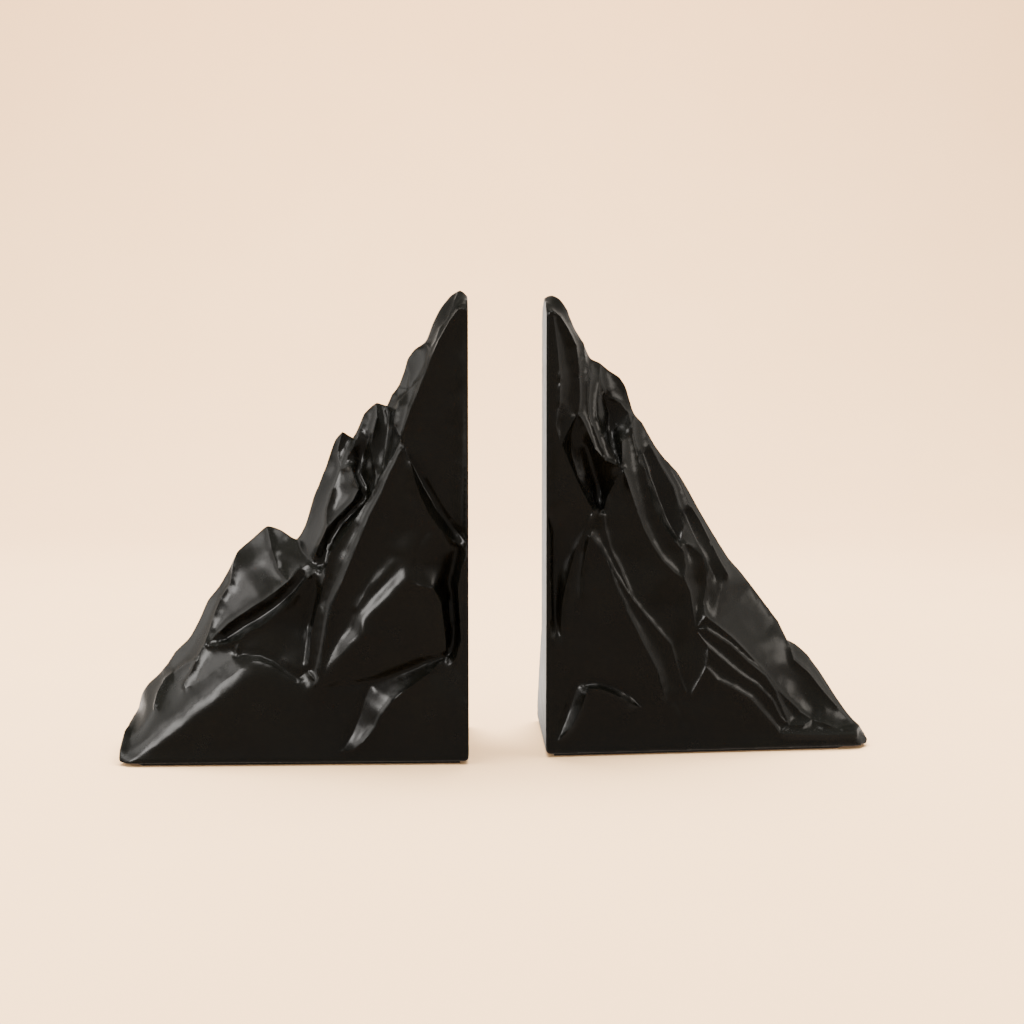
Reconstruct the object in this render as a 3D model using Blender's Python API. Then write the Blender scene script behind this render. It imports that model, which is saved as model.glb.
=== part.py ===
"""A pair of rock-form book ends, left and right, in metres with +Z up.

Each book end is a hollow cast shell with a sculpted front and back. Its cavity holds a poured ballast
block, a steel plate closed with four countersunk screws keeps the block in, and a soft pad covers the
plate and stands on the shelf.

The sculptures are written as named ridge and valley lines in whole and half millimetres. A point is
(u, v, z): u runs outward from the book face, v runs back from the front plane, z runs up.
"""

import bpy
import bmesh
from mathutils import Vector
from mathutils.geometry import delaunay_2d_cdt

MM = 0.001
SAME_PLACE = 0.000005
SAME_HEIGHT = 0.01
TOUCHING = 0.000001
SAME_CORNER = 0.00001

# Overall sizes of the two blocks, in millimetres.
LEFT_LENGTH = 118.0
RIGHT_LENGTH = 115.5
HEIGHT = 160.0
DEPTH = 61.0

# Where the blocks stand: the face towards the books and the front plane of each.
LEFT_FACE_X = -12.0
RIGHT_FACE_X = 14.5
LEFT_FRONT_Y = -35.0
RIGHT_FRONT_Y = -26.0

# Clearance between touching pieces.
GAP = 0.3

# The stack under the shell, from the shelf up.
PAD_THICKNESS = 1.5
PAD_PROUD = 1.0
PAD_INSET = 3.0
PLATE_THICKNESS = 3.0
PLATE_INSET = 6.5
PLATE_BOTTOM = PAD_THICKNESS + GAP
PLATE_TOP = PLATE_BOTTOM + PLATE_THICKNESS
LEDGE = PLATE_TOP + GAP

# Recess cutters start here, below everything.
BELOW_SHELF = -1.0

# Countersunk screws that hold the plate to the casting.
SCREW_DIAMETER = 4.0
SCREW_HEAD_DIAMETER = 7.6
SCREW_HEAD_HEIGHT = 2.2
SCREW_HEAD_SUNK = 0.1
SCREW_SEAT_SLACK = 0.25
SCREW_LENGTH = 12.0
SCREW_TIP_SHARE = 0.4
SCREW_TAPER_SHARE = 0.6
SCREW_SOCKET = 2.5
SCREW_SOCKET_DEPTH = 1.4
SCREW_SIDES = 16

# Screw places: in from the plate's edges, and how far along the block the outer pair stands.
SCREW_EDGE = 5.5
SCREW_FAR_SHARE = 0.73

# The wall between the cavity in the casting and the book face.
CAVITY_NEAR_WALL = 17.0

# The sculptures were laid out on blocks of these sizes, and are stretched to the sizes above.
NOMINAL_LEFT_LENGTH = 118.0
NOMINAL_RIGHT_LENGTH = 115.5
NOMINAL_HEIGHT = 160.0
NOMINAL_DEPTH = 61.0

LEFT_CREST = [
    (0, 18, 158), (2.5, 19, 160), (6, 20, 158), (9.8, 20, 153.4), (12.5, 20, 148),
    (14.6, 20, 141.8), (18.3, 20, 140), (21, 20, 136.4), (22.4, 20, 131), (24.6, 22, 126),
    (26.6, 22, 124.4), (28, 22, 120), (31.5, 23, 122),
    (36, 23, 118), (39.8, 23, 109), (43.3, 23, 111.8), (46.3, 24, 108.8), (50, 24, 98), (54, 25, 89),
    (57, 26, 79), (60, 27, 73.5), (65, 28, 77.2), (70.5, 29, 79), (76, 29, 74), (81, 29, 70),
    (84.3, 30, 63.3), (88, 30, 57), (92, 30, 52.5), (95, 30, 45.5), (98.5, 30, 39), (103.5, 31, 34.5),
    (107, 32, 29.5), (110.5, 34, 25.3), (114, 34, 22.5), (116.8, 35, 18.5), (118, 36, 13.5),
]
LEFT_FRONT_OUTLINE = [
    (118, 12, 10), (118, 4, 5), (118, 3, 0),
    (114, 0, 0), (60, 0, 0), (0, 0, 0),
    (0, 0, 20), (0, 0, 72), (0, 0.5, 152), (0, 6, 155.5),
]
LEFT_FRONT_LINES = {
    "cap_edge": [
        (0, 0.5, 152), (3, 1, 151.5), (6, 1.2, 147.5), (9.5, 1.8, 141.5), (12, 2.4, 135.5),
        (14.5, 3, 129), (16.5, 3.5, 124.5), (19, 4, 119),
    ],
    "cap_ridge": [(2.5, 19, 160), (4.5, 11, 155), (7.5, 7, 148), (10, 6, 143), (12.3, 8, 139)],
    "upper_hollow_right": [
        (14.6, 20, 141.8), (12.3, 8, 139), (13.5, 7, 133), (15.5, 8.5, 129.5), (20, 14, 125.5),
    ],
    "upper_hollow_left": [(21, 20, 136.4), (19.7, 17, 131), (20, 14, 125.5), (24.6, 22, 126)],
    "second_step": [
        (20, 14, 125.5), (23, 12, 121.5), (24, 10.5, 118), (24.5, 10, 114.5), (23.5, 8.5, 111),
        (22, 5, 109.5),
    ],
    "first_groove": [(28, 22, 120), (28, 17, 113), (29, 14, 106), (29.5, 10, 99)],
    "third_rib": [
        (31.5, 23, 122), (31, 18, 116), (32, 16, 111.5), (33, 14, 106), (31.8, 12, 101),
        (31, 10, 96.5), (32, 6.5, 90.5),
    ],
    "dark_cleft": [
        (35, 18, 110), (37, 19, 104), (37.7, 17, 98), (35.6, 14, 93.5), (35.8, 14, 89),
        (40, 14.5, 84.5), (44, 14.5, 80.5), (47, 14, 76), (49, 13, 71), (50, 11, 66.5),
    ],
    "fourth_rib": [(36, 23, 118), (37, 20.5, 111.5), (39, 18.5, 106), (41.5, 18.5, 102), (44, 19.5, 98.5)],
    "cleft_rim": [
        (44, 19.5, 98.5), (40, 15, 99.5), (38.7, 13, 95.5), (37.2, 12, 92), (39.3, 12.5, 88),
        (42.3, 13, 85), (45, 13, 82.3), (48, 13, 79),
    ],
    "fifth_rib": [
        (43.3, 23, 111.8), (45, 22, 103.5), (44, 19.5, 98.5), (46, 18, 92), (48, 16, 85), (48, 13, 79),
    ],
    "strap_left": [
        (19, 4, 119), (20.7, 4.5, 114), (22, 5, 109.5), (25, 5.5, 103.5), (29, 6, 96),
        (32, 6.5, 90.5), (35.5, 7, 85.5), (39.5, 7, 79.5), (43.5, 7, 74), (46.5, 7, 70.3),
        (48, 7, 64.5), (49.6, 7, 57), (51.5, 6.5, 49), (52.6, 6, 44), (53.5, 5, 37), (54.5, 4.5, 31.5),
        (51.3, 3.5, 28.3), (51, 2.5, 25),
    ],
    "strap_right": [
        (21.5, 2.6, 107), (23, 3, 103.5), (26, 3.2, 97.5), (28.8, 3.4, 91), (33, 3.5, 83.5),
        (36.3, 3.5, 76), (39.7, 3.5, 68), (43, 3.5, 60), (45.7, 3.4, 53), (47.3, 3.2, 46),
        (48.8, 3, 38), (50, 2.8, 29.5), (51, 2.5, 25),
    ],
    "shield_rim": [
        (21.5, 2.6, 107), (19.7, 2.2, 103), (18, 1.9, 96), (16.2, 1.8, 90.5), (13.3, 1.9, 84.5),
        (9.3, 2.2, 79), (3.5, 3, 73.5),
    ],
    "shield_shadow": [
        (21.5, 2.6, 107), (17.8, 4.3, 101), (14.5, 4.2, 94.5), (10.5, 4.3, 87), (5.5, 4, 79.5),
        (1.7, 2.5, 75),
    ],
    "shield_dip": [
        (28, 4.3, 78), (31.5, 4.5, 66), (36, 4.2, 56), (41, 4.2, 47), (45, 4.2, 39), (48.3, 3.4, 31),
    ],
    "shield_swell": [
        (16, 1.2, 80), (18, 0.6, 68), (23, 0.3, 58), (31, 0.2, 49), (38, 0.5, 40), (45, 1.3, 31),
        (51, 2.5, 25),
    ],
    "shield_heel": [
        (45, 1.3, 31), (38, 1.2, 30.5), (30, 1.1, 32), (22, 1.2, 35.5), (14, 1.7, 38.5), (8, 2.6, 41),
    ],
    "shield_foot": [
        (51, 2.5, 25), (45, 3, 26.3), (38, 3.5, 26.6), (31, 4, 27.5), (25, 4.5, 29.6), (20, 4.5, 31.6),
        (14.5, 4.5, 34), (8, 4.5, 36),
    ],
    "slot_outer": [
        (18, 1.2, 61), (12, 1.5, 59.5), (9.6, 1.9, 55), (8.7, 2.1, 48), (8, 2.6, 41), (8, 4.5, 36),
    ],
    "slot_bottom": [
        (3.5, 3, 73.5), (5.3, 7, 67.5), (6.5, 9, 61), (5.7, 10, 54), (5.2, 10, 48), (5.4, 9, 42),
        (6.2, 7, 38), (8, 4.5, 36),
    ],
    "slot_inner": [
        (0, 0, 72), (2, 1, 66.5), (3.2, 1.5, 60), (2.8, 2, 52), (2.2, 1.8, 42), (4, 2.6, 35.8),
        (6, 3.3, 33.5),
    ],
    "wedge_edge": [
        (13, 1.5, 31), (18, 0.6, 27.5), (22.5, 0.3, 24.4), (26, 0.2, 21.4), (29.5, 0.1, 17),
        (31.5, 0, 13), (35, 0, 8.6), (38.7, 0, 5.7), (43, 0.3, 4.7),
    ],
    "wedge_fold": [(43, 0.3, 4.7), (39.5, 1.7, 10.5), (37, 2.8, 16.5), (35.5, 3.4, 21.7), (33.5, 3.6, 26.4)],
    "wedge_top": [(13, 1.5, 31), (8, 4.5, 36)],
    "corner_crease": [(13, 1.5, 31), (7.5, 1.5, 30), (3, 0.7, 25), (0, 0, 20)],
    "below_strap": [(51, 2.5, 25), (47.5, 1.2, 15), (44.5, 0.5, 7)],
    "hump": [
        (117, 3, 6), (110, 1, 9), (104, 0.8, 12.8), (97, 0.8, 18), (90, 0.9, 23.5), (84, 1.2, 28),
        (78, 1.6, 32), (73, 2, 35), (70, 2.2, 35.3), (66, 2.2, 33.6), (61, 2.3, 30), (56, 2.4, 26.8),
        (51, 2.5, 25),
    ],
    "hump_rear": [
        (79, 8, 37), (75.5, 7, 37.2), (70.5, 6.5, 37.3), (66, 6, 35.6), (61, 5, 31.8), (57.5, 4.3, 29.3),
        (54.5, 4.5, 31.5),
    ],
    "bank": [
        (117, 3, 6), (114, 5, 10), (110.5, 8, 15), (107, 10, 18), (102, 10, 21), (97, 10, 24.5),
        (91.5, 9, 27.5), (86.5, 8, 31), (79, 8, 37),
    ],
    "low_rib": [
        (79, 8, 37), (77.5, 9, 41), (75, 9, 43.5), (71, 9, 45.3), (67, 9, 48), (61, 9, 53.2),
        (58, 9, 57), (55.5, 9, 61), (53, 9, 63.5), (50, 11, 66.5),
    ],
    "low_rib_branch": [(77.5, 9, 41), (81.5, 10, 39.7), (86, 12, 38.7), (90.3, 14, 38.5)],
    "middle_rib": [
        (52, 12, 69.5), (53.5, 13, 67.7), (57.5, 13, 64.7), (61.5, 13, 60.5), (66, 13, 57),
        (70, 13, 54.2), (74, 13.5, 51.7), (78, 14, 49), (82.2, 14, 46), (86.3, 14, 42), (90.3, 14, 38.5),
        (92.3, 13, 34.5), (94, 11.5, 30.5), (97, 10, 24.5),
    ],
    "rib_valley": [
        (56.5, 12.5, 62.3), (60.5, 13.7, 57.3), (66, 14.5, 52.3), (72, 14.5, 48.3), (78, 14.5, 44.8),
        (83.5, 14.5, 41.3),
    ],
    "rear_rib": [
        (81, 29, 70), (81.6, 24, 64.5), (82, 22, 59), (85.4, 21, 53.7), (87, 19, 49), (88.5, 17, 44),
        (90.3, 14, 38.5),
    ],
    "shoulder": [(70.5, 29, 79), (68, 22, 71), (65.5, 18, 64.5), (61.5, 13, 60.5)],
    "saddle": [(60, 27, 73.5), (58, 19, 70.7), (55.5, 14, 68.7), (53.5, 13, 67.7)],
    "cleft_side": [(48, 13, 79), (50.2, 12.5, 74), (52, 12, 69.5)],
    "pit": [(53, 9, 63.5), (52.3, 10, 57), (54, 12, 50), (55.3, 12, 45.5), (55.5, 8, 40), (56, 5, 35)],
    "end_rib": [
        (107, 10, 18), (106.7, 16, 22), (105, 20, 26), (102.5, 22, 28), (97.5, 18, 31.5), (92.3, 13, 34.5),
    ],
    "end_link": [(107, 32, 29.5), (105, 20, 26)],
}

LEFT_BACK_OUTLINE = [
    (118, 50, 11), (118, 55, 5), (118, 56, 0),
    (98, 57, 0), (83, 61, 0), (65, 57, 0), (48, 61, 0), (32, 57, 0), (15, 61, 0), (0, 60, 0),
    (0, 59.5, 8), (0, 46, 25), (0, 31, 41), (0, 31, 150), (0, 28, 155.5),
]
LEFT_BACK_LINES = {
    "spur_one": [
        (6, 20, 158), (8, 28.5, 146), (10, 31, 120), (12, 32, 82), (13, 33, 50), (14, 46, 28),
        (15, 59.5, 9), (15, 61, 0),
    ],
    "gully_one": [
        (22.4, 20, 131), (24, 26.5, 117), (27, 29, 90), (28, 32, 56), (30, 44, 32), (32, 55.5, 12),
        (32, 57, 0),
    ],
    "spur_two": [
        (31.5, 23, 122), (34, 30, 104), (38, 33, 80), (42, 37.5, 56), (45, 48, 34), (47.5, 59, 13),
        (48, 61, 0),
    ],
    "gully_two": [(50, 24, 98), (54, 29, 82), (58, 34, 58), (62, 43, 36), (64.5, 54, 16), (65, 57, 0)],
    "spur_three": [(70.5, 29, 79), (73, 35, 64), (76, 42, 48), (80, 51, 28), (82.5, 59.5, 11), (83, 61, 0)],
    "gully_three": [(88, 30, 57), (91, 37, 44), (94, 45, 28), (97, 54, 12), (98, 57, 0)],
    "spur_four": [(103.5, 31, 34.5), (107, 42, 27), (111, 52, 15), (113, 56, 6)],
    "rib_one": [(13, 33, 50), (20, 32.5, 72), (27, 29, 90)],
    "rib_two": [(45, 48, 34), (38, 42, 46), (28, 32, 56)],
    "rib_three": [(42, 37.5, 56), (50, 35, 68), (54, 29, 82)],
    "rib_four": [(80, 51, 28), (71, 46, 37), (58, 34, 58)],
    "rib_five": [(76, 42, 48), (84, 38, 52), (88, 30, 57)],
}

RIGHT_CREST = [
    (0, 18, 158), (3, 18, 159), (6, 18, 157.3), (8.3, 18, 154), (11, 18, 147), (14, 18, 142.5),
    (16.5, 19, 136.5), (20, 20, 135.5), (23, 20, 132.7), (27, 20, 130.5), (29.2, 20, 127.3),
    (31, 21, 121.5), (32.5, 22, 117), (35, 22, 115), (40, 22, 106.2), (44, 22, 101), (48, 23, 97.3),
    (52, 24, 91), (56, 24, 83.7), (62, 25, 74), (67.5, 25, 65.5), (71, 26, 62), (75, 26, 57),
    (81.5, 26, 48.5), (85, 26, 44), (88, 26, 36.7), (92, 27, 35), (96, 27, 31.5), (100.5, 26, 25.7),
    (103.5, 25, 21), (106.3, 23, 16.3), (109, 20, 12), (111.5, 18, 8.7), (113.7, 18, 6.7),
    (115.5, 20, 4.5),
]
RIGHT_FRONT_OUTLINE = [
    (115.5, 14, 3), (115.5, 14, 0),
    (112, 9, 0), (60, 4.7, 0), (0, 0, 0),
    (0, 0, 45), (0, 0, 84), (0, 0.5, 151), (0, 6, 155),
]
RIGHT_FRONT_LINES = {
    "cap_edge": [
        (0, 0.5, 151), (2, 0.8, 151.7), (4.3, 1.5, 150), (7, 2.5, 146), (10, 4, 140.3), (11, 4.5, 132),
        (11.5, 4.5, 124), (11.2, 3.6, 117.5),
    ],
    "face_fold": [
        (2, 0.8, 151.7), (3.5, 0.7, 141), (4.5, 0.6, 130), (4.3, 0.6, 120), (3.2, 0.7, 113), (5, 1.2, 107),
    ],
    "diamond_left": [(11.2, 3.6, 117.5), (8.7, 2.5, 114.7), (6.4, 1.6, 110.5), (5, 1.2, 107)],
    "diamond_rim": [
        (5, 1.2, 107), (8, 1.2, 100), (11, 1.3, 93.3), (14, 1.5, 87.7), (16.3, 2.2, 84.8), (20, 6, 85),
    ],
    "diamond_fold": [
        (11.2, 3.6, 117.5), (9.5, 5, 110), (9.7, 5.5, 104), (12, 5.5, 96), (15, 5, 89.7), (16.3, 2.2, 84.8),
    ],
    "diamond_right": [
        (11.2, 3.6, 117.5), (14.2, 4, 111.5), (17, 4.5, 105.7), (20.5, 5, 101.7), (26.5, 6, 99),
    ],
    "diamond_pit": [(14, 7, 106), (17, 9.5, 98), (19, 12, 92), (19, 11, 88), (20, 6, 85)],
    "pit_right": [(26.5, 6, 99), (24.5, 8, 94.7), (22.3, 8, 90), (20, 6, 85)],
    "groove_rib": [
        (14, 18, 142.5), (13.5, 10, 136), (14.6, 8, 130), (14.6, 7.5, 122), (15.2, 6.7, 116),
        (17.3, 5.7, 110), (20.5, 5, 101.7),
    ],
    "hollow_left": [
        (20, 20, 135.5), (19, 14, 128.5), (17.8, 11, 122), (17.8, 9, 116), (18.8, 8, 111),
        (21, 7.5, 107), (26.5, 6, 99),
    ],
    "hollow_pit": [(22, 16, 123.7), (24.5, 17.5, 118), (24, 17, 112), (24, 12, 106), (26.5, 6, 99)],
    "hollow_top": [(19, 14, 128.5), (22, 16, 123.7), (27, 18, 121), (29.6, 19, 117.5), (30.5, 16, 113)],
    "hollow_peak": [(27, 20, 130.5), (25.3, 18, 126), (22, 16, 123.7)],
    "strap_left": [
        (26.7, 10, 108), (26.5, 6, 99), (28, 6, 95), (29.6, 6.2, 90), (31.6, 6.5, 84), (34, 7, 78),
        (37, 7.3, 72.5), (41, 7.5, 66.7), (45, 7.5, 62.7), (48.3, 8, 60.5),
    ],
    "strap_right": [
        (32.5, 22, 117), (30.5, 16, 113), (31.5, 14, 107), (32.6, 12, 102), (34.5, 11, 98),
        (35.6, 10.5, 92), (37, 10, 87), (39, 10, 82.5), (41.6, 10, 77.5), (45, 10, 73.3), (48, 10.5, 70.5),
    ],
    "strap_gully": [(35.5, 17, 104), (38, 15.5, 96), (41, 14.5, 88), (44, 14, 80.5), (48, 12, 73.5)],
    "upper_rib": [
        (35, 22, 115), (37.5, 18.5, 105.5), (40.5, 18, 99.7), (45, 16, 92), (46.5, 16, 87),
        (47.5, 15, 83), (48.5, 14, 78), (48, 12, 73.5), (48, 10.5, 70.5),
    ],
    "crest_rib": [
        (44, 22, 101), (49, 20.5, 92), (52, 20, 84.7), (55, 20, 80), (59, 19, 72), (62, 18, 66),
        (65, 16, 60.5),
    ],
    "crest_gully": [(50.5, 18.5, 83), (53.5, 17, 76), (57.5, 15.5, 68), (61, 15, 61)],
    "crest_step": [(67.5, 25, 65.5), (65, 16, 60.5), (61, 15, 61), (57, 13, 58)],
    "drop_left": [
        (48, 10.5, 70.5), (49, 9.5, 65), (48.3, 8, 60.5), (50.5, 8.8, 56), (51.5, 8.5, 50), (52.5, 8, 43),
    ],
    "drop_right": [
        (48, 12, 73.5), (52, 13, 71), (55, 13, 68), (56.5, 12.7, 64), (57, 13, 58), (55.6, 11, 52),
        (56, 8.5, 47.3), (52.5, 8, 43),
    ],
    "peak_left": [(15, 2.5, 76), (13.5, 3, 69.5), (12.3, 3.3, 63), (12, 2.5, 54)],
    "peak_outer": [
        (16.3, 2.2, 84.8), (12.5, 4, 76), (10.2, 4.3, 71), (8.6, 4, 65), (7, 3.5, 59), (5.7, 3, 52),
        (5.2, 2.3, 46), (5, 1.8, 38.5),
    ],
    "face_gully": [(0, 0, 84), (3.2, 5, 77), (3, 6.5, 66), (3, 6, 56), (3.3, 4.5, 49), (4, 2, 42.5)],
    "face_lip": [(0, 0, 84), (1.3, 0.8, 75), (1.4, 1, 60), (1.5, 0.8, 48), (0, 0, 45)],
    "peak_right": [
        (15, 2.5, 76), (18, 3, 72.3), (21, 3.2, 67), (25.3, 3.5, 60.5), (30, 4, 54), (34, 4.5, 49),
        (39, 5, 43), (43.6, 6, 38), (45, 6, 33), (47, 6, 26), (50, 6, 19),
    ],
    "peak_bevel": [
        (21, 3.2, 67), (24, 2, 58), (27, 1.8, 51.5), (31, 2, 44), (34.5, 2.1, 37), (38, 2.2, 30),
        (40, 2.5, 23), (41.5, 3, 18.7),
    ],
    "rear_line": [(20, 6, 85), (20.5, 5.5, 78), (22.5, 5.2, 71), (26, 5.2, 64), (30, 4, 54)],
    "bevel_foot": [(41.5, 3, 18.7), (46, 4, 18.2), (50, 6, 19)],
    "foot_crease": [(46, 4, 18.2), (48.8, 4.4, 11)],
    "tail_top": [
        (56, 8.5, 47.3), (60, 9, 44.3), (65, 9.5, 40.3), (70, 10, 35.5), (76, 11, 29), (81, 12, 22.7),
        (86, 12.5, 17.3), (91, 13, 12.5), (95, 13, 10),
    ],
    "tail_middle": [
        (52.5, 8, 43), (56, 7.5, 43), (60, 8, 40.3), (65, 8.5, 37), (72, 9, 30.5), (77, 9.5, 26),
        (81, 10, 20.3), (84, 10, 13.5), (86, 9.5, 8.7),
    ],
    "tail_lower": [
        (52.5, 8, 43), (57, 7, 36.7), (62, 7.3, 32.3), (68, 7.8, 27.3), (74, 8.3, 23.3), (80, 8.8, 17.5),
        (83, 9, 11.5), (86, 9.5, 8.7),
    ],
    "tail_wedge": [
        (56, 6, 30), (60, 6, 25.5), (66, 6.2, 22.3), (72, 6.8, 18.6), (77, 7.5, 13), (80.5, 7.8, 9),
        (82.5, 7.3, 6),
    ],
    "tail_wedge_link": [(50, 6, 19), (56, 6, 30), (57, 7, 36.7)],
    "rear_edge": [
        (85, 26, 44), (87, 22, 38.5), (89.3, 19, 30), (94.5, 19, 25.5), (100.5, 18, 18), (104.5, 17, 13.3),
        (109, 16.5, 8.7),
    ],
    "rear_edge_end": [(109, 16.5, 8.7), (113.7, 18, 6.7)],
    "toe": [
        (82.5, 7.3, 6), (86, 9.5, 8.7), (91, 9.8, 8.3), (95, 13, 10), (99, 11, 8.7), (104, 10.7, 6.7),
        (110.5, 11, 6.4), (113.7, 18, 6.7),
    ],
    "toe_edge": [(82.5, 7.3, 6), (97, 8, 5.3), (110, 9.3, 5)],
    "wedge_fold": [(14.6, 1, 23.7), (11, 3, 25), (8.5, 2.8, 17.5), (5.7, 1.7, 10), (4.2, 0.6, 5.7)],
    "wedge_edge": [(14.6, 1, 23.7), (12.3, 0.9, 17), (8.7, 0.7, 10.3), (4.2, 0.6, 5.7)],
    "arch_shadow": [(11, 3, 25), (18, 3, 25.6), (24, 3.2, 23.7), (30, 3.5, 20.7), (33.7, 3.4, 16.3)],
    "arch_lip": [(14.6, 1, 23.7), (19, 1.3, 23.3), (24, 1.8, 21.3), (29, 2.3, 18.3), (33.7, 3.4, 16.3)],
    "peak_heel": [
        (5, 1.8, 38.5), (8, 1.9, 33), (13, 1.8, 29.5), (20, 1.7, 28.2), (28, 1.9, 25.3), (35, 2.2, 20.5),
        (41.5, 3, 18.7),
    ],
}

RIGHT_BACK_OUTLINE = [
    (115.5, 44, 3), (115.5, 44, 0),
    (110, 52, 0), (94, 56, 0), (78, 60, 0), (61, 57, 0), (45, 61, 0), (30, 57, 0), (14, 61, 0), (0, 60, 0),
    (0, 59.5, 8), (0, 46, 25), (0, 31, 41), (0, 31, 150), (0, 28, 155),
]
RIGHT_BACK_LINES = {
    "spur_one": [
        (8.3, 18, 154), (9, 28, 144), (10, 31, 116), (11, 33, 78), (12, 34, 50), (13, 47, 28),
        (14, 59.5, 9), (14, 61, 0),
    ],
    "gully_one": [
        (16.5, 19, 136.5), (20, 26, 118), (24, 29, 92), (26, 32, 56), (28, 44, 32), (30, 55.5, 12),
        (30, 57, 0),
    ],
    "spur_two": [
        (27, 20, 130.5), (30, 29, 106), (34, 33, 82), (39, 38, 57), (42, 48, 34), (44.5, 59, 13),
        (45, 61, 0),
    ],
    "gully_two": [(44, 22, 101), (48, 28, 82), (53, 33, 60), (58, 43, 36), (60.5, 54, 16), (61, 57, 0)],
    "spur_three": [(62, 25, 74), (66, 33, 60), (71, 41, 45), (75, 50, 27), (77.5, 58.5, 11), (78, 60, 0)],
    "gully_three": [(81.5, 26, 48.5), (86, 35, 36), (90, 44, 22), (93.5, 53, 9), (94, 56, 0)],
    "spur_four": [(96, 27, 31.5), (101, 37, 22), (106, 46, 12), (110, 51.5, 4)],
    "rib_one": [(12, 34, 50), (18, 32.5, 70), (24, 29, 92)],
    "rib_two": [(42, 48, 34), (35, 42, 46), (26, 32, 56)],
    "rib_three": [(39, 38, 57), (46, 34, 70), (48, 28, 82)],
    "rib_four": [(75, 50, 27), (66, 46, 36), (53, 33, 60)],
    "rib_five": [(71, 41, 45), (78, 37, 46), (81.5, 26, 48.5)],
}

# The underside outline that pads and plates are set in from, on the laid-out blocks.
LEFT_FOOTPRINT = [(0, 0), (111, 0), (118, 8), (118, 48), (111, 56), (0, 56)]
RIGHT_FOOTPRINT = [(0, 0), (105, 8.5), (115.5, 18), (115.5, 40), (105, 51), (0, 56)]

# Cavity sections from its mouth up: height, far end, front and back, on the laid-out blocks.
CAVITY_SECTIONS = [(0, 72, 12, 45), (24, 60, 13, 35.5), (42, 49, 14.5, 26), (80, 27, 15.5, 25)]


def clear_scene():
    for obj in list(bpy.data.objects):
        bpy.data.objects.remove(obj)


def make_collection(name):
    collection = bpy.data.collections.new(name)
    bpy.context.scene.collection.children.link(collection)
    return collection


def make_material(name, colour, roughness, metallic):
    material = bpy.data.materials.new(name)
    material.use_nodes = True
    shader = material.node_tree.nodes["Principled BSDF"]
    shader.inputs["Base Color"].default_value = (*colour, 1.0)
    shader.inputs["Roughness"].default_value = roughness
    shader.inputs["Metallic"].default_value = metallic
    return material


class Block:
    """One book end's place on the shelf, and the stretch from its laid-out block to its real size."""

    def __init__(self, name, face_x, outward, front_y, length, nominal_length):
        self.name = name
        self.face_x = face_x
        self.outward = outward
        self.front_y = front_y
        self.length = length
        self.stretch_u = length / nominal_length
        self.stretch_v = DEPTH / NOMINAL_DEPTH
        self.stretch_z = HEIGHT / NOMINAL_HEIGHT

    def plan(self, point):
        return (point[0] * self.stretch_u, point[1] * self.stretch_v)

    def place(self, u, v, z):
        """World position, in metres, of real millimetres out from the face, back and up."""
        x = self.face_x + self.outward * u
        y = self.front_y + v
        return Vector((x, y, z)) * MM

    def sculpt(self, point):
        """World position of a point of the sculpture, whose underside stands clear of the shelf."""
        u, v = self.plan(point)
        return self.place(u, v, max(point[2] * self.stretch_z, PAD_PROUD))


def sheet(bm, block, crest, outline, lines):
    """One side of the sculpture: triangles between its outline and its ridge and valley lines."""
    ring = crest + outline
    depth = {}
    corners = []
    index = {}

    def add(point):
        key = (point[0], point[2])
        if key not in index:
            index[key] = len(corners)
            corners.append(Vector(key))
            depth[index[key]] = point[1]
        return index[key]

    loop = [add(point) for point in ring]
    edges = []
    for line in lines.values():
        path = [add(point) for point in line]
        edges += list(zip(path, path[1:]))
    found, _, faces, origins, _, _ = delaunay_2d_cdt(corners, edges, [loop], 1, SAME_CORNER)
    verts = []
    for place, origin in zip(found, origins):
        if not origin:
            raise ValueError(f"two lines of {block.name} cross near {place[0]:.1f}, {place[1]:.1f}")
        verts.append(bm.verts.new(block.sculpt((place[0], depth[origin[0]], place[1]))))
    for face in faces:
        bm.faces.new([verts[i] for i in face])


def rock_solid(block, crest, front, back):
    """The closed sculpture: front and back sheets that share the crest, and three flat sides."""
    bm = bmesh.new()
    sheet(bm, block, crest, *front)
    front_verts = set(bm.verts)
    sheet(bm, block, crest, *back)
    back_verts = set(bm.verts) - front_verts
    face_x = block.place(0, 0, 0).x
    base_z = PAD_PROUD * MM
    end_x = max((v.co.x for v in bm.verts), key=lambda x: x * block.outward)
    sides = [
        (lambda v: v.co.x - face_x, lambda v: v.co.z),
        (lambda v: v.co.z - base_z, lambda v: v.co.x * block.outward),
        (lambda v: v.co.x - end_x, lambda v: v.co.z),
    ]
    for distance, order in sides:
        out = sorted((v for v in front_verts if abs(distance(v)) < SAME_PLACE), key=order)
        home = sorted((v for v in back_verts if abs(distance(v)) < SAME_PLACE), key=order, reverse=True)
        ring = out + home
        bm.faces.new([v for i, v in enumerate(ring) if (v.co - ring[i - 1].co).length > SAME_PLACE])
    bmesh.ops.remove_doubles(bm, verts=bm.verts, dist=SAME_PLACE)
    bmesh.ops.triangulate(bm, faces=[f for f in bm.faces if len(f.verts) > 3])
    bmesh.ops.recalc_face_normals(bm, faces=bm.faces)
    return bm


def object_from_bmesh(name, bm, collection, material):
    mesh = bpy.data.meshes.new(name)
    bm.to_mesh(mesh)
    bm.free()
    obj = bpy.data.objects.new(name, mesh)
    collection.objects.link(obj)
    if material:
        mesh.materials.append(material)
    return obj


def as_cutter(obj):
    obj.hide_render = True
    obj.display_type = "WIRE"
    return obj


def cut(obj, cutter):
    modifier = obj.modifiers.new("cut_" + cutter.name, "BOOLEAN")
    modifier.operation = "DIFFERENCE"
    modifier.object = cutter


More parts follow.
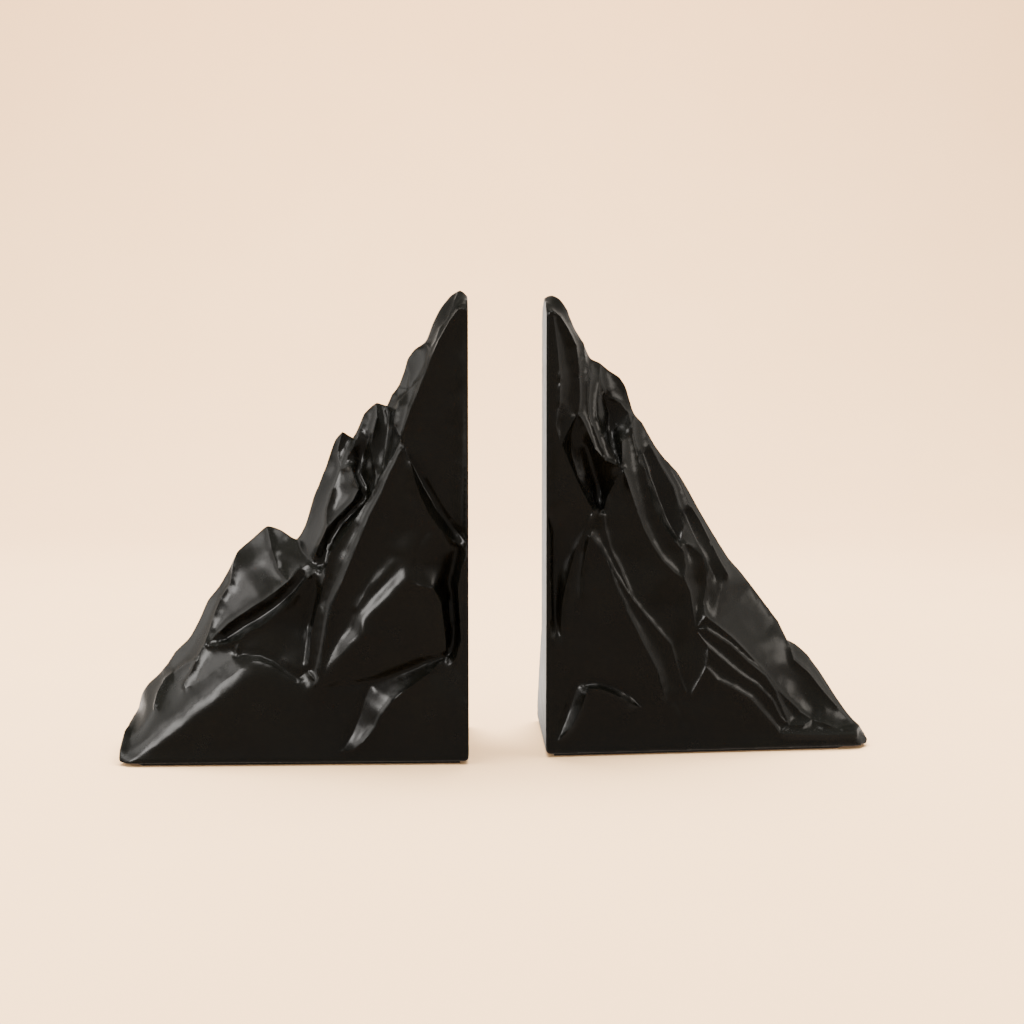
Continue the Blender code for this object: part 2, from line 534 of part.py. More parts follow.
def inset(outline, distance):
    """The convex outline, counter-clockwise, with every side moved in by the distance."""
    count = len(outline)
    sides = []
    for i, start in enumerate(outline):
        end = outline[(i + 1) % count]
        along = Vector((end[0] - start[0], end[1] - start[1])).normalized()
        inward = Vector((-along.y, along.x))
        sides.append((Vector(start) + inward * distance, along))
    corners = []
    for i, (point, along) in enumerate(sides):
        before, before_along = sides[i - 1]
        cross = before_along.x * along.y - before_along.y * along.x
        offset = point - before
        step = (offset.x * along.y - offset.y * along.x) / cross
        corners.append(before + before_along * step)
    return corners


def slab(name, block, outline, bottom, top, collection, material=None):
    """A flat piece with this outline between two heights."""
    bm = bmesh.new()
    face = bm.faces.new([bm.verts.new(block.place(u, v, bottom)) for u, v in outline])
    lifted = bmesh.ops.extrude_face_region(bm, geom=[face])
    moved = [item for item in lifted["geom"] if isinstance(item, bmesh.types.BMVert)]
    bmesh.ops.translate(bm, verts=moved, vec=(0, 0, (top - bottom) * MM))
    bmesh.ops.recalc_face_normals(bm, faces=bm.faces)
    return object_from_bmesh(name, bm, collection, material)


def cavity_solid(name, block, bottom, clearance, collection, material=None):
    """The drafted hollow of the casting, or with a clearance the block that fills it."""
    bm = bmesh.new()
    rings = []
    top = CAVITY_SECTIONS[-1][0]
    rise = top * block.stretch_z - bottom
    for height, far, front, back in CAVITY_SECTIONS:
        far_u, front_v = block.plan((far, front))
        back_v = block.plan((far, back))[1]
        z = bottom + rise * height / top - (clearance if height == top else 0)
        near_u = CAVITY_NEAR_WALL + clearance
        corners = [
            (near_u, front_v + clearance),
            (far_u - clearance * 2, front_v + clearance),
            (far_u - clearance * 2, back_v - clearance * 2),
            (near_u, back_v - clearance * 2),
        ]
        rings.append([bm.verts.new(block.place(u, v, z)) for u, v in corners])
    for low, high in zip(rings, rings[1:]):
        for i in range(4):
            j = (i + 1) % 4
            bm.faces.new([low[i], low[j], high[j], high[i]])
    bm.faces.new(rings[0])
    bm.faces.new(rings[-1])
    bmesh.ops.triangulate(bm, faces=bm.faces)
    bmesh.ops.recalc_face_normals(bm, faces=bm.faces)
    return object_from_bmesh(name, bm, collection, material)


def turned(name, profile, place, collection, material=None):
    """A turned solid: rings of the profile's (radius, height) points, closed at both ends."""
    bm = bmesh.new()
    for (low_radius, low), (high_radius, high) in zip(profile, profile[1:]):
        cone = bmesh.ops.create_cone(
            bm,
            segments=SCREW_SIDES,
            radius1=low_radius * MM,
            radius2=high_radius * MM,
            depth=(high - low) * MM,
            cap_ends=True,
        )
        middle = place + Vector((0, 0, (low + high) / 2 * MM))
        bmesh.ops.translate(bm, verts=cone["verts"], vec=middle)
    bmesh.ops.remove_doubles(bm, verts=bm.verts, dist=TOUCHING)
    inner = [f for f in bm.faces if len(f.verts) == SCREW_SIDES and is_between(f, profile, place)]
    bmesh.ops.delete(bm, geom=inner, context="FACES_ONLY")
    bmesh.ops.recalc_face_normals(bm, faces=bm.faces)
    return object_from_bmesh(name, bm, collection, material)


def is_between(face, profile, place):
    height = (face.calc_center_median().z - place.z) / MM
    return profile[0][1] + SAME_HEIGHT < height < profile[-1][1] - SAME_HEIGHT


def screw_profile(clearance):
    """Radius and height along a countersunk screw that points up, or along the hole around it."""
    radius = SCREW_DIAMETER / 2 + clearance
    head = SCREW_HEAD_DIAMETER / 2 + clearance
    start = PLATE_BOTTOM + SCREW_HEAD_SUNK
    if clearance:
        start -= SCREW_SEAT_SLACK
    tip = start + SCREW_LENGTH + clearance * 2
    return [
        (head, start),
        (radius, start + SCREW_HEAD_HEIGHT),
        (radius, tip - radius * SCREW_TAPER_SHARE),
        (radius * SCREW_TIP_SHARE, tip),
    ]


def screw_spots(block, plate_outline):
    """Plan places of the four screws, each as far in from the edge of the plate."""
    spots = []
    for u in (PLATE_INSET + SCREW_EDGE, block.length * SCREW_FAR_SHARE):
        crossings = []
        for i, end in enumerate(plate_outline):
            start = plate_outline[i - 1]
            if (start[0] > u) != (end[0] > u):
                share = (u - start[0]) / (end[0] - start[0])
                crossings.append(start[1] + (end[1] - start[1]) * share)
        spots += [(u, min(crossings) + SCREW_EDGE), (u, max(crossings) - SCREW_EDGE)]
    return spots


def add_screw(name, place, screw_material, parts, cutters):
    """A screw with its hexagon socket, and the cutter of the hole around it."""
    screw = turned(name, screw_profile(0), place, parts, screw_material)
    hole = as_cutter(turned(name + "_hole", screw_profile(GAP), place, cutters))
    socket = bmesh.new()
    bmesh.ops.create_cone(
        socket,
        segments=6,
        radius1=SCREW_SOCKET / 2 * MM,
        radius2=SCREW_SOCKET / 2 * MM,
        depth=SCREW_SOCKET_DEPTH * 2 * MM,
        cap_ends=True,
    )
    head_bottom = Vector((0, 0, screw_profile(0)[0][1] * MM))
    bmesh.ops.translate(socket, verts=socket.verts, vec=place + head_bottom)
    cut(screw, as_cutter(object_from_bmesh(name + "_socket", socket, cutters, None)))
    return hole


def build_block(block, solid, footprint, parts, cutters, materials):
    """One book end: its casting around the sculpted solid, and the pieces in and under it."""
    outline = [block.plan(point) for point in footprint]
    pad_outline = inset(outline, PAD_INSET)
    plate_outline = inset(outline, PLATE_INSET)
    name = block.name

    shell = object_from_bmesh(name + "_rock_shell", solid, parts, materials["rock"])
    slab(name + "_anti_slip_pad", block, pad_outline, 0, PAD_THICKNESS, parts, materials["pad"])
    plate = slab(
        name + "_base_plate", block, plate_outline, PLATE_BOTTOM, PLATE_TOP, parts, materials["steel"]
    )
    cavity_solid(name + "_ballast", block, LEDGE, GAP, parts, materials["ballast"])

    pad_mouth = inset(outline, PAD_INSET - GAP)
    plate_mouth = inset(outline, PLATE_INSET - GAP)
    hollows = [
        slab(name + "_pad_recess", block, pad_mouth, BELOW_SHELF, PLATE_BOTTOM, cutters),
        slab(name + "_plate_recess", block, plate_mouth, BELOW_SHELF, LEDGE, cutters),
        cavity_solid(name + "_cavity", block, LEDGE - GAP / 2, 0, cutters),
    ]
    for hollow in hollows:
        cut(shell, as_cutter(hollow))

    for number, (u, v) in enumerate(screw_spots(block, plate_outline), start=1):
        place = block.place(u, v, 0)
        hole = add_screw(f"{name}_base_screw_{number}", place, materials["screw"], parts, cutters)
        cut(plate, hole)
        cut(shell, hole)


def main():
    clear_scene()
    parts = make_collection("book_ends")
    cutters = make_collection("cutters")
    materials = {
        "rock": make_material("black_cast_resin", (0.012, 0.012, 0.011), 0.32, 0.0),
        "pad": make_material("pad_rubber", (0.02, 0.02, 0.02), 0.9, 0.0),
        "steel": make_material("plate_steel", (0.35, 0.35, 0.34), 0.4, 1.0),
        "ballast": make_material("ballast_cement", (0.3, 0.29, 0.27), 0.9, 0.0),
        "screw": make_material("screw_steel", (0.45, 0.45, 0.44), 0.3, 1.0),
    }

    left = Block("left", LEFT_FACE_X, -1, LEFT_FRONT_Y, LEFT_LENGTH, NOMINAL_LEFT_LENGTH)
    left_front = (LEFT_FRONT_OUTLINE, LEFT_FRONT_LINES)
    left_back = (LEFT_BACK_OUTLINE, LEFT_BACK_LINES)
    left_solid = rock_solid(left, LEFT_CREST, left_front, left_back)
    build_block(left, left_solid, LEFT_FOOTPRINT, parts, cutters, materials)

    right = Block("right", RIGHT_FACE_X, 1, RIGHT_FRONT_Y, RIGHT_LENGTH, NOMINAL_RIGHT_LENGTH)
    right_front = (RIGHT_FRONT_OUTLINE, RIGHT_FRONT_LINES)
    right_back = (RIGHT_BACK_OUTLINE, RIGHT_BACK_LINES)
    right_solid = rock_solid(right, RIGHT_CREST, right_front, right_back)
    build_block(right, right_solid, RIGHT_FOOTPRINT, parts, cutters, materials)


main()
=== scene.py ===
"""A pair of black mountain book ends in fine detail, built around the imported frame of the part."""

import math

import bmesh
import bpy
import numpy as np
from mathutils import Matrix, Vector, noise
from mathutils.bvhtree import BVHTree
from mathutils.geometry import delaunay_2d_cdt
from mathutils.kdtree import KDTree


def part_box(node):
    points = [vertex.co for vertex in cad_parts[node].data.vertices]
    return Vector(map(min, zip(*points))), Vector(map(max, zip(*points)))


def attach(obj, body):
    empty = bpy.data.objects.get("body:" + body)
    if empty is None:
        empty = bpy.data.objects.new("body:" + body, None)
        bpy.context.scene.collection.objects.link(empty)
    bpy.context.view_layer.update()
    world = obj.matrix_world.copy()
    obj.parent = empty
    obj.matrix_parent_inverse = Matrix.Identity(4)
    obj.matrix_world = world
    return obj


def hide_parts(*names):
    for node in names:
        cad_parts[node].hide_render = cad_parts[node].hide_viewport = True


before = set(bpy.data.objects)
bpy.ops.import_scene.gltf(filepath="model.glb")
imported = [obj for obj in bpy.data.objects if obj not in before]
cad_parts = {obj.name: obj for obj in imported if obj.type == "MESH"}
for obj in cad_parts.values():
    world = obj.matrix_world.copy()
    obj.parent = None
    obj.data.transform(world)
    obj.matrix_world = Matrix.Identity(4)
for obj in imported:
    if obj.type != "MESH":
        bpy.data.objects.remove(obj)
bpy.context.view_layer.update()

MM = 0.001
SAME_PLACE = 0.0001

# Spacing of the skin's points, in millimetres: along its edges and folds, in rows beside them, elsewhere.
EDGE_STEP = 0.8
FOLD_ROWS = (0.28, 0.7)
EDGE_ROWS = (0.5, 1.1)
OPEN_STEP = 1.15

# How far points stay from each other and from the lines, as shares of their row's offset or the step.
ROW_GAP = 0.85
ROW_CLEAR = 0.9
OPEN_GAP = 0.6
OPEN_CLEAR = 0.7

# Searching: straight pieces tried for each point, how far off its face a ray starts that looks out of
# the rock, and how far away one starts that looks in, both in millimetres.
NEAREST_TRIED = 6
PROBE_GAP = 0.01
PROBE_START = 500

# Shape of the draped surface, in millimetres.
DRAPE_LENGTH = 1.1
FLANK_DEPTH = 1.0
FLANK_REACH = 2.6
BEAD_HEIGHT = 0.5
BEAD_RADIUS = 0.42
CREASE_DEPTH = 0.7
CREASE_REACH = 1.2
CLEFT_DEPTH = 0.8
LEAST_RIDGE = 0.85
SOFT_REACH = 3.5
SOFT_DRAPE_LENGTH = 3.0
RIDGE_LEVELS = (0.25, 0.5, 0.75, 1.0)
BEAD_FADE = 0.7
CONVEX_PROBE = 1.4
FULL_RIDGE = 0.45
RIPPLE_HEIGHT = 0.2
RIPPLE_LENGTH = 9.0
ROUNDING_REACH = 1.4
ROUNDING_STRENGTHS = (0.6,) * 6
CREST_STRENGTHS = (0.5,) * 9
SPREAD_STRENGTHS = (0.7,) * 12
SOFTENING_STRENGTHS = (0.5,) * 2

# Relaxing the draped surface: what counts as on a line, how firmly points are held there, how strong
# ridges are on the backs, and when relaxing ends.
ON_LINE = 0.01
RIDGE_HOLD = 20
VALLEY_HOLD = 3
EDGE_HOLD = 1e4
BACK_RIDGES = 0.5
SETTLE_STEPS = 400
SETTLED = 1e-9

# Faces that meet at more than this keep a sharp edge.
SHARP_ANGLE = math.radians(60)

# Looks: two tones, and the least and most roughness or how far it spreads to both sides.
RESIN_TONES = ((0.0022, 0.0023, 0.0018), (0.0029, 0.0031, 0.0024))
RESIN_ROUGHNESS = (0.21, 0.28)
ROUGHNESS_SPREAD = 0.08
PAPER_TONES = ((0.80, 0.52, 0.28), (0.82, 0.54, 0.295))

# The backdrop's own light, and how bright reflections show it: from one place to another, in metres,
# and the strength at each.
PAPER_GLOW = 0.12
GLOW_BY_DEPTH = ((-0.04, 0.1), (0.35, 2.2))
GLOW_BY_HEIGHT = ((0.4, 0.9), (1.0, 0.15))
GLOW_ASIDE = ((0.2, 0.6), (1.0, 0.22))

# The stage: sizes and places in metres, the lens in millimetres, the camera's turns in degrees.
SWEEP_WIDTH = 3.0
SWEEP_FRONT = -1.4
SWEEP_BACK = 1.5
SWEEP_HEIGHT = 2.2
SWEEP_RADIUS = 0.7
SWEEP_PARTS = 16
LIGHT_AIM = (0, 0, 0.06)
WARM = (1.0, 0.93, 0.84)
NEUTRAL = (1.0, 0.97, 0.93)
WORLD_STRENGTH = 0.35
CAMERA_PLACE = (-0.0149, -0.5331, 0.1227)
CAMERA_LENS = 52.73
CAMERA_DOWN = 4.27
CAMERA_TURN = -2.0

# Fold lines over the fronts and the backs: millimetres out from the book face, and up. They repeat the
# corners of the CAD's own layout. Only the first six lines of the left front are extra.
LEFT_FOLDS = {
    "cap_lip": [(0.6, 153.6), (2.7, 153.2), (6, 150.6), (9, 146.6), (10.4, 143)],
    "cap_groove": [(3, 156.5), (5.6, 151.8), (8.2, 147)],
    "shield_crease": [(13.5, 78.5), (16, 74.5), (17.5, 70.5), (17.7, 66), (18, 61)],
    "slot_rib": [(5.2, 62.5), (6.8, 56), (6.6, 50), (5.9, 44), (6.3, 39.5)],
    "wedge_swell": [(36.6, 29), (37.8, 24), (39.8, 17.5)],
    "corner_fold": [(10.7, 31), (7.3, 26.5), (5.3, 21.5), (3.4, 16.5), (1.6, 11)],
    "cap_edge": [
        (0, 152), (3, 151.5), (6, 147.5), (9.5, 141.5), (12, 135.5), (14.5, 129), (16.5, 124.5),
        (19, 119),
    ],
    "cap_ridge": [(2.5, 160), (4.5, 155), (7.5, 148), (10, 143), (12.3, 139)],
    "upper_hollow_right": [(14.6, 141.8), (12.3, 139), (13.5, 133), (15.5, 129.5), (20, 125.5)],
    "upper_hollow_left": [(21, 136.4), (19.7, 131), (20, 125.5), (24.6, 126)],
    "second_step": [(20, 125.5), (23, 121.5), (24, 118), (24.5, 114.5), (23.5, 111), (22, 109.5)],
    "first_groove": [(28, 120), (28, 113), (29, 106), (29.5, 99)],
    "third_rib": [(31.5, 122), (31, 116), (32, 111.5), (33, 106), (31.8, 101), (31, 96.5), (32, 90.5)],
    "dark_cleft": [
        (35, 110), (37, 104), (37.7, 98), (35.6, 93.5), (35.8, 89), (40, 84.5), (44, 80.5), (47, 76),
        (49, 71), (50, 66.5),
    ],
    "fourth_rib": [(36, 118), (37, 111.5), (39, 106), (41.5, 102), (44, 98.5)],
    "cleft_rim": [
        (44, 98.5), (40, 99.5), (38.7, 95.5), (37.2, 92), (39.3, 88), (42.3, 85), (45, 82.3), (48, 79),
    ],
    "fifth_rib": [(43.3, 111.8), (45, 103.5), (44, 98.5), (46, 92), (48, 85), (48, 79)],
    "strap_left": [
        (19, 119), (20.7, 114), (22, 109.5), (25, 103.5), (29, 96), (32, 90.5), (35.5, 85.5),
        (39.5, 79.5), (43.5, 74), (46.5, 70.3), (48, 64.5), (49.6, 57), (51.5, 49), (52.6, 44),
        (53.5, 37), (54.5, 31.5), (51.3, 28.3), (51, 25),
    ],
    "strap_right": [
        (21.5, 107), (23, 103.5), (26, 97.5), (28.8, 91), (33, 83.5), (36.3, 76), (39.7, 68), (43, 60),
        (45.7, 53), (47.3, 46), (48.8, 38), (50, 29.5), (51, 25),
    ],
    "shield_rim": [
        (21.5, 107), (19.7, 103), (18, 96), (16.2, 90.5), (13.3, 84.5), (9.3, 79), (3.5, 73.5),
    ],
    "shield_shadow": [(21.5, 107), (17.8, 101), (14.5, 94.5), (10.5, 87), (5.5, 79.5), (1.7, 75)],
    "shield_dip": [(28, 78), (31.5, 66), (36, 56), (41, 47), (45, 39), (48.3, 31)],
    "shield_swell": [(16, 80), (18, 68), (23, 58), (31, 49), (38, 40), (45, 31), (51, 25)],
    "shield_heel": [(45, 31), (38, 30.5), (30, 32), (22, 35.5), (14, 38.5), (8, 41)],
    "shield_foot": [
        (51, 25), (45, 26.3), (38, 26.6), (31, 27.5), (25, 29.6), (20, 31.6), (14.5, 34), (8, 36),
    ],
    "slot_outer": [(18, 61), (12, 59.5), (9.6, 55), (8.7, 48), (8, 41), (8, 36)],
    "slot_bottom": [
        (3.5, 73.5), (5.3, 67.5), (6.5, 61), (5.7, 54), (5.2, 48), (5.4, 42), (6.2, 38), (8, 36),
    ],
    "slot_inner": [(0, 72), (2, 66.5), (3.2, 60), (2.8, 52), (2.2, 42), (4, 35.8), (6, 33.5)],
    "wedge_edge": [
        (13, 31), (18, 27.5), (22.5, 24.4), (26, 21.4), (29.5, 17), (31.5, 13), (35, 8.6), (38.7, 5.7),
        (43, 4.7),
    ],
    "wedge_fold": [(43, 4.7), (39.5, 10.5), (37, 16.5), (35.5, 21.7), (33.5, 26.4)],
    "wedge_top": [(13, 31), (8, 36)],
    "corner_crease": [(13, 31), (7.5, 30), (3, 25), (0, 20)],
    "below_strap": [(51, 25), (47.5, 15), (44.5, 7)],
    "hump": [
        (117, 6), (110, 9), (104, 12.8), (97, 18), (90, 23.5), (84, 28), (78, 32), (73, 35),
        (70, 35.3), (66, 33.6), (61, 30), (56, 26.8), (51, 25),
    ],
    "hump_rear": [
        (79, 37), (75.5, 37.2), (70.5, 37.3), (66, 35.6), (61, 31.8), (57.5, 29.3), (54.5, 31.5),
    ],
    "bank": [
        (117, 6), (114, 10), (110.5, 15), (107, 18), (102, 21), (97, 24.5), (91.5, 27.5), (86.5, 31),
        (79, 37),
    ],
    "low_rib": [
        (79, 37), (77.5, 41), (75, 43.5), (71, 45.3), (67, 48), (61, 53.2), (58, 57), (55.5, 61),
        (53, 63.5), (50, 66.5),
    ],
    "low_rib_branch": [(77.5, 41), (81.5, 39.7), (86, 38.7), (90.3, 38.5)],
    "middle_rib": [
        (52, 69.5), (53.5, 67.7), (57.5, 64.7), (61.5, 60.5), (66, 57), (70, 54.2), (74, 51.7),
        (78, 49), (82.2, 46), (86.3, 42), (90.3, 38.5), (92.3, 34.5), (94, 30.5), (97, 24.5),
    ],
    "rib_valley": [(56.5, 62.3), (60.5, 57.3), (66, 52.3), (72, 48.3), (78, 44.8), (83.5, 41.3)],
    "rear_rib": [(81, 70), (81.6, 64.5), (82, 59), (85.4, 53.7), (87, 49), (88.5, 44), (90.3, 38.5)],
    "shoulder": [(70.5, 79), (68, 71), (65.5, 64.5), (61.5, 60.5)],
    "saddle": [(60, 73.5), (58, 70.7), (55.5, 68.7), (53.5, 67.7)],
    "cleft_side": [(48, 79), (50.2, 74), (52, 69.5)],
    "pit": [(53, 63.5), (52.3, 57), (54, 50), (55.3, 45.5), (55.5, 40), (56, 35)],
    "end_rib": [(107, 18), (106.7, 22), (105, 26), (102.5, 28), (97.5, 31.5), (92.3, 34.5)],
    "end_link": [(107, 29.5), (105, 26)],
}

LEFT_REAR_FOLDS = {
    "spur_one": [(6, 158), (8, 146), (10, 120), (12, 82), (13, 50), (14, 28), (15, 9), (15, 0)],
    "gully_one": [(22.4, 131), (24, 117), (27, 90), (28, 56), (30, 32), (32, 12), (32, 0)],
    "spur_two": [(31.5, 122), (34, 104), (38, 80), (42, 56), (45, 34), (47.5, 13), (48, 0)],
    "gully_two": [(50, 98), (54, 82), (58, 58), (62, 36), (64.5, 16), (65, 0)],
    "spur_three": [(70.5, 79), (73, 64), (76, 48), (80, 28), (82.5, 11), (83, 0)],
    "gully_three": [(88, 57), (91, 44), (94, 28), (97, 12), (98, 0)],
    "spur_four": [(103.5, 34.5), (107, 27), (111, 15), (113, 6)],
    "rib_one": [(13, 50), (20, 72), (27, 90)],
    "rib_two": [(45, 34), (38, 46), (28, 56)],
    "rib_three": [(42, 56), (50, 68), (54, 82)],
    "rib_four": [(80, 28), (71, 37), (58, 58)],
    "rib_five": [(76, 48), (84, 52), (88, 57)],
}

RIGHT_FOLDS = {
    "cap_edge": [
        (0, 151), (2, 151.7), (4.3, 150), (7, 146), (10, 140.3), (11, 132), (11.5, 124), (11.2, 117.5),
    ],
    "face_fold": [(2, 151.7), (3.5, 141), (4.5, 130), (4.3, 120), (3.2, 113), (5, 107)],
    "diamond_left": [(11.2, 117.5), (8.7, 114.7), (6.4, 110.5), (5, 107)],
    "diamond_rim": [(5, 107), (8, 100), (11, 93.3), (14, 87.7), (16.3, 84.8), (20, 85)],
    "diamond_fold": [(11.2, 117.5), (9.5, 110), (9.7, 104), (12, 96), (15, 89.7), (16.3, 84.8)],
    "diamond_right": [(11.2, 117.5), (14.2, 111.5), (17, 105.7), (20.5, 101.7), (26.5, 99)],
    "diamond_pit": [(14, 106), (17, 98), (19, 92), (19, 88), (20, 85)],
    "pit_right": [(26.5, 99), (24.5, 94.7), (22.3, 90), (20, 85)],
    "groove_rib": [
        (14, 142.5), (13.5, 136), (14.6, 130), (14.6, 122), (15.2, 116), (17.3, 110), (20.5, 101.7),
    ],
    "hollow_left": [
        (20, 135.5), (19, 128.5), (17.8, 122), (17.8, 116), (18.8, 111), (21, 107), (26.5, 99),
    ],
    "hollow_pit": [(22, 123.7), (24.5, 118), (24, 112), (24, 106), (26.5, 99)],
    "hollow_top": [(19, 128.5), (22, 123.7), (27, 121), (29.6, 117.5), (30.5, 113)],
    "hollow_peak": [(27, 130.5), (25.3, 126), (22, 123.7)],
    "strap_left": [
        (26.7, 108), (26.5, 99), (28, 95), (29.6, 90), (31.6, 84), (34, 78), (37, 72.5), (41, 66.7),
        (45, 62.7), (48.3, 60.5),
    ],
    "strap_right": [
        (32.5, 117), (30.5, 113), (31.5, 107), (32.6, 102), (34.5, 98), (35.6, 92), (37, 87),
        (39, 82.5), (41.6, 77.5), (45, 73.3), (48, 70.5),
    ],
    "strap_gully": [(35.5, 104), (38, 96), (41, 88), (44, 80.5), (48, 73.5)],
    "upper_rib": [
        (35, 115), (37.5, 105.5), (40.5, 99.7), (45, 92), (46.5, 87), (47.5, 83), (48.5, 78),
        (48, 73.5), (48, 70.5),
    ],
    "crest_rib": [(44, 101), (49, 92), (52, 84.7), (55, 80), (59, 72), (62, 66), (65, 60.5)],
    "crest_gully": [(50.5, 83), (53.5, 76), (57.5, 68), (61, 61)],
    "crest_step": [(67.5, 65.5), (65, 60.5), (61, 61), (57, 58)],
    "drop_left": [(48, 70.5), (49, 65), (48.3, 60.5), (50.5, 56), (51.5, 50), (52.5, 43)],
    "drop_right": [
        (48, 73.5), (52, 71), (55, 68), (56.5, 64), (57, 58), (55.6, 52), (56, 47.3), (52.5, 43),
    ],
    "peak_left": [(15, 76), (13.5, 69.5), (12.3, 63), (12, 54)],
    "peak_outer": [
        (16.3, 84.8), (12.5, 76), (10.2, 71), (8.6, 65), (7, 59), (5.7, 52), (5.2, 46), (5, 38.5),
    ],
    "face_gully": [(0, 84), (3.2, 77), (3, 66), (3, 56), (3.3, 49), (4, 42.5)],
    "face_lip": [(0, 84), (1.3, 75), (1.4, 60), (1.5, 48), (0, 45)],
    "peak_right": [
        (15, 76), (18, 72.3), (21, 67), (25.3, 60.5), (30, 54), (34, 49), (39, 43), (43.6, 38),
        (45, 33), (47, 26), (50, 19),
    ],
    "peak_bevel": [
        (21, 67), (24, 58), (27, 51.5), (31, 44), (34.5, 37), (38, 30), (40, 23), (41.5, 18.7),
    ],
    "rear_line": [(20, 85), (20.5, 78), (22.5, 71), (26, 64), (30, 54)],
    "bevel_foot": [(41.5, 18.7), (46, 18.2), (50, 19)],
    "foot_crease": [(46, 18.2), (48.8, 11)],
    "tail_top": [
        (56, 47.3), (60, 44.3), (65, 40.3), (70, 35.5), (76, 29), (81, 22.7), (86, 17.3), (91, 12.5),
        (95, 10),
    ],
    "tail_middle": [
        (52.5, 43), (56, 43), (60, 40.3), (65, 37), (72, 30.5), (77, 26), (81, 20.3), (84, 13.5),
        (86, 8.7),
    ],
    "tail_lower": [
        (52.5, 43), (57, 36.7), (62, 32.3), (68, 27.3), (74, 23.3), (80, 17.5), (83, 11.5), (86, 8.7),
    ],
    "tail_wedge": [(56, 30), (60, 25.5), (66, 22.3), (72, 18.6), (77, 13), (80.5, 9), (82.5, 6)],
    "tail_wedge_link": [(50, 19), (56, 30), (57, 36.7)],
    "rear_edge": [(85, 44), (87, 38.5), (89.3, 30), (94.5, 25.5), (100.5, 18), (104.5, 13.3), (109, 8.7)],
    "rear_edge_end": [(109, 8.7), (113.7, 6.7)],
    "toe": [(82.5, 6), (86, 8.7), (91, 8.3), (95, 10), (99, 8.7), (104, 6.7), (110.5, 6.4), (113.7, 6.7)],
    "toe_edge": [(82.5, 6), (97, 5.3), (110, 5)],
    "wedge_fold": [(14.6, 23.7), (11, 25), (8.5, 17.5), (5.7, 10), (4.2, 5.7)],
    "wedge_edge": [(14.6, 23.7), (12.3, 17), (8.7, 10.3), (4.2, 5.7)],
    "arch_shadow": [(11, 25), (18, 25.6), (24, 23.7), (30, 20.7), (33.7, 16.3)],
    "arch_lip": [(14.6, 23.7), (19, 23.3), (24, 21.3), (29, 18.3), (33.7, 16.3)],
    "peak_heel": [(5, 38.5), (8, 33), (13, 29.5), (20, 28.2), (28, 25.3), (35, 20.5), (41.5, 18.7)],
}

RIGHT_REAR_FOLDS = {
    "spur_one": [(8.3, 154), (9, 144), (10, 116), (11, 78), (12, 50), (13, 28), (14, 9), (14, 0)],
    "gully_one": [(16.5, 136.5), (20, 118), (24, 92), (26, 56), (28, 32), (30, 12), (30, 0)],
    "spur_two": [(27, 130.5), (30, 106), (34, 82), (39, 57), (42, 34), (44.5, 13), (45, 0)],
    "gully_two": [(44, 101), (48, 82), (53, 60), (58, 36), (60.5, 16), (61, 0)],
    "spur_three": [(62, 74), (66, 60), (71, 45), (75, 27), (77.5, 11), (78, 0)],
    "gully_three": [(81.5, 48.5), (86, 36), (90, 22), (93.5, 9), (94, 0)],
    "spur_four": [(96, 31.5), (101, 22), (106, 12), (110, 4)],
    "rib_one": [(12, 50), (18, 70), (24, 92)],
    "rib_two": [(42, 34), (35, 46), (26, 56)],
    "rib_three": [(39, 57), (46, 70), (48, 82)],
    "rib_four": [(75, 27), (66, 36), (53, 60)],
    "rib_five": [(71, 45), (78, 46), (81.5, 48.5)],
}

# Folds that stay broad and round, and folds that are valleys. A front's other folds are crisp ridges.
SOFT_FOLDS = {
    "hump", "shield_swell", "shield_heel", "shield_dip", "bank", "peak_heel", "hollow_peak",
    "crest_step", "below_strap", "end_link", "wedge_swell",
}
VALLEYS = {
    "cap_groove", "shield_crease", "corner_fold", "first_groove", "dark_cleft", "shield_shadow",
    "shield_foot", "slot_bottom", "wedge_fold", "corner_crease", "hump_rear", "rib_valley", "saddle",
    "pit", "diamond_fold", "diamond_pit", "hollow_pit", "strap_gully", "crest_gully", "face_gully",
    "bevel_foot", "foot_crease", "arch_shadow",
}

# Valleys that are cut deeper still.
CLEFTS = {"shield_shadow", "dark_cleft", "slot_bottom", "diamond_pit", "hollow_pit"}

# Broad swells of the left front: height and half width in millimetres, and the line that they follow.
LEFT_SWELLS = [
    (1.7, 3.5, [(50.5, 26), (47, 31), (42.5, 36.5), (38.5, 41), (35, 44)]),
    (1.2, 3.4, [(35, 48.5), (30, 53.5), (25, 58), (21, 62)]),
    (0.5, 1.6, [(37.5, 53), (34, 58), (30, 62.5), (25.8, 67.5)]),
]


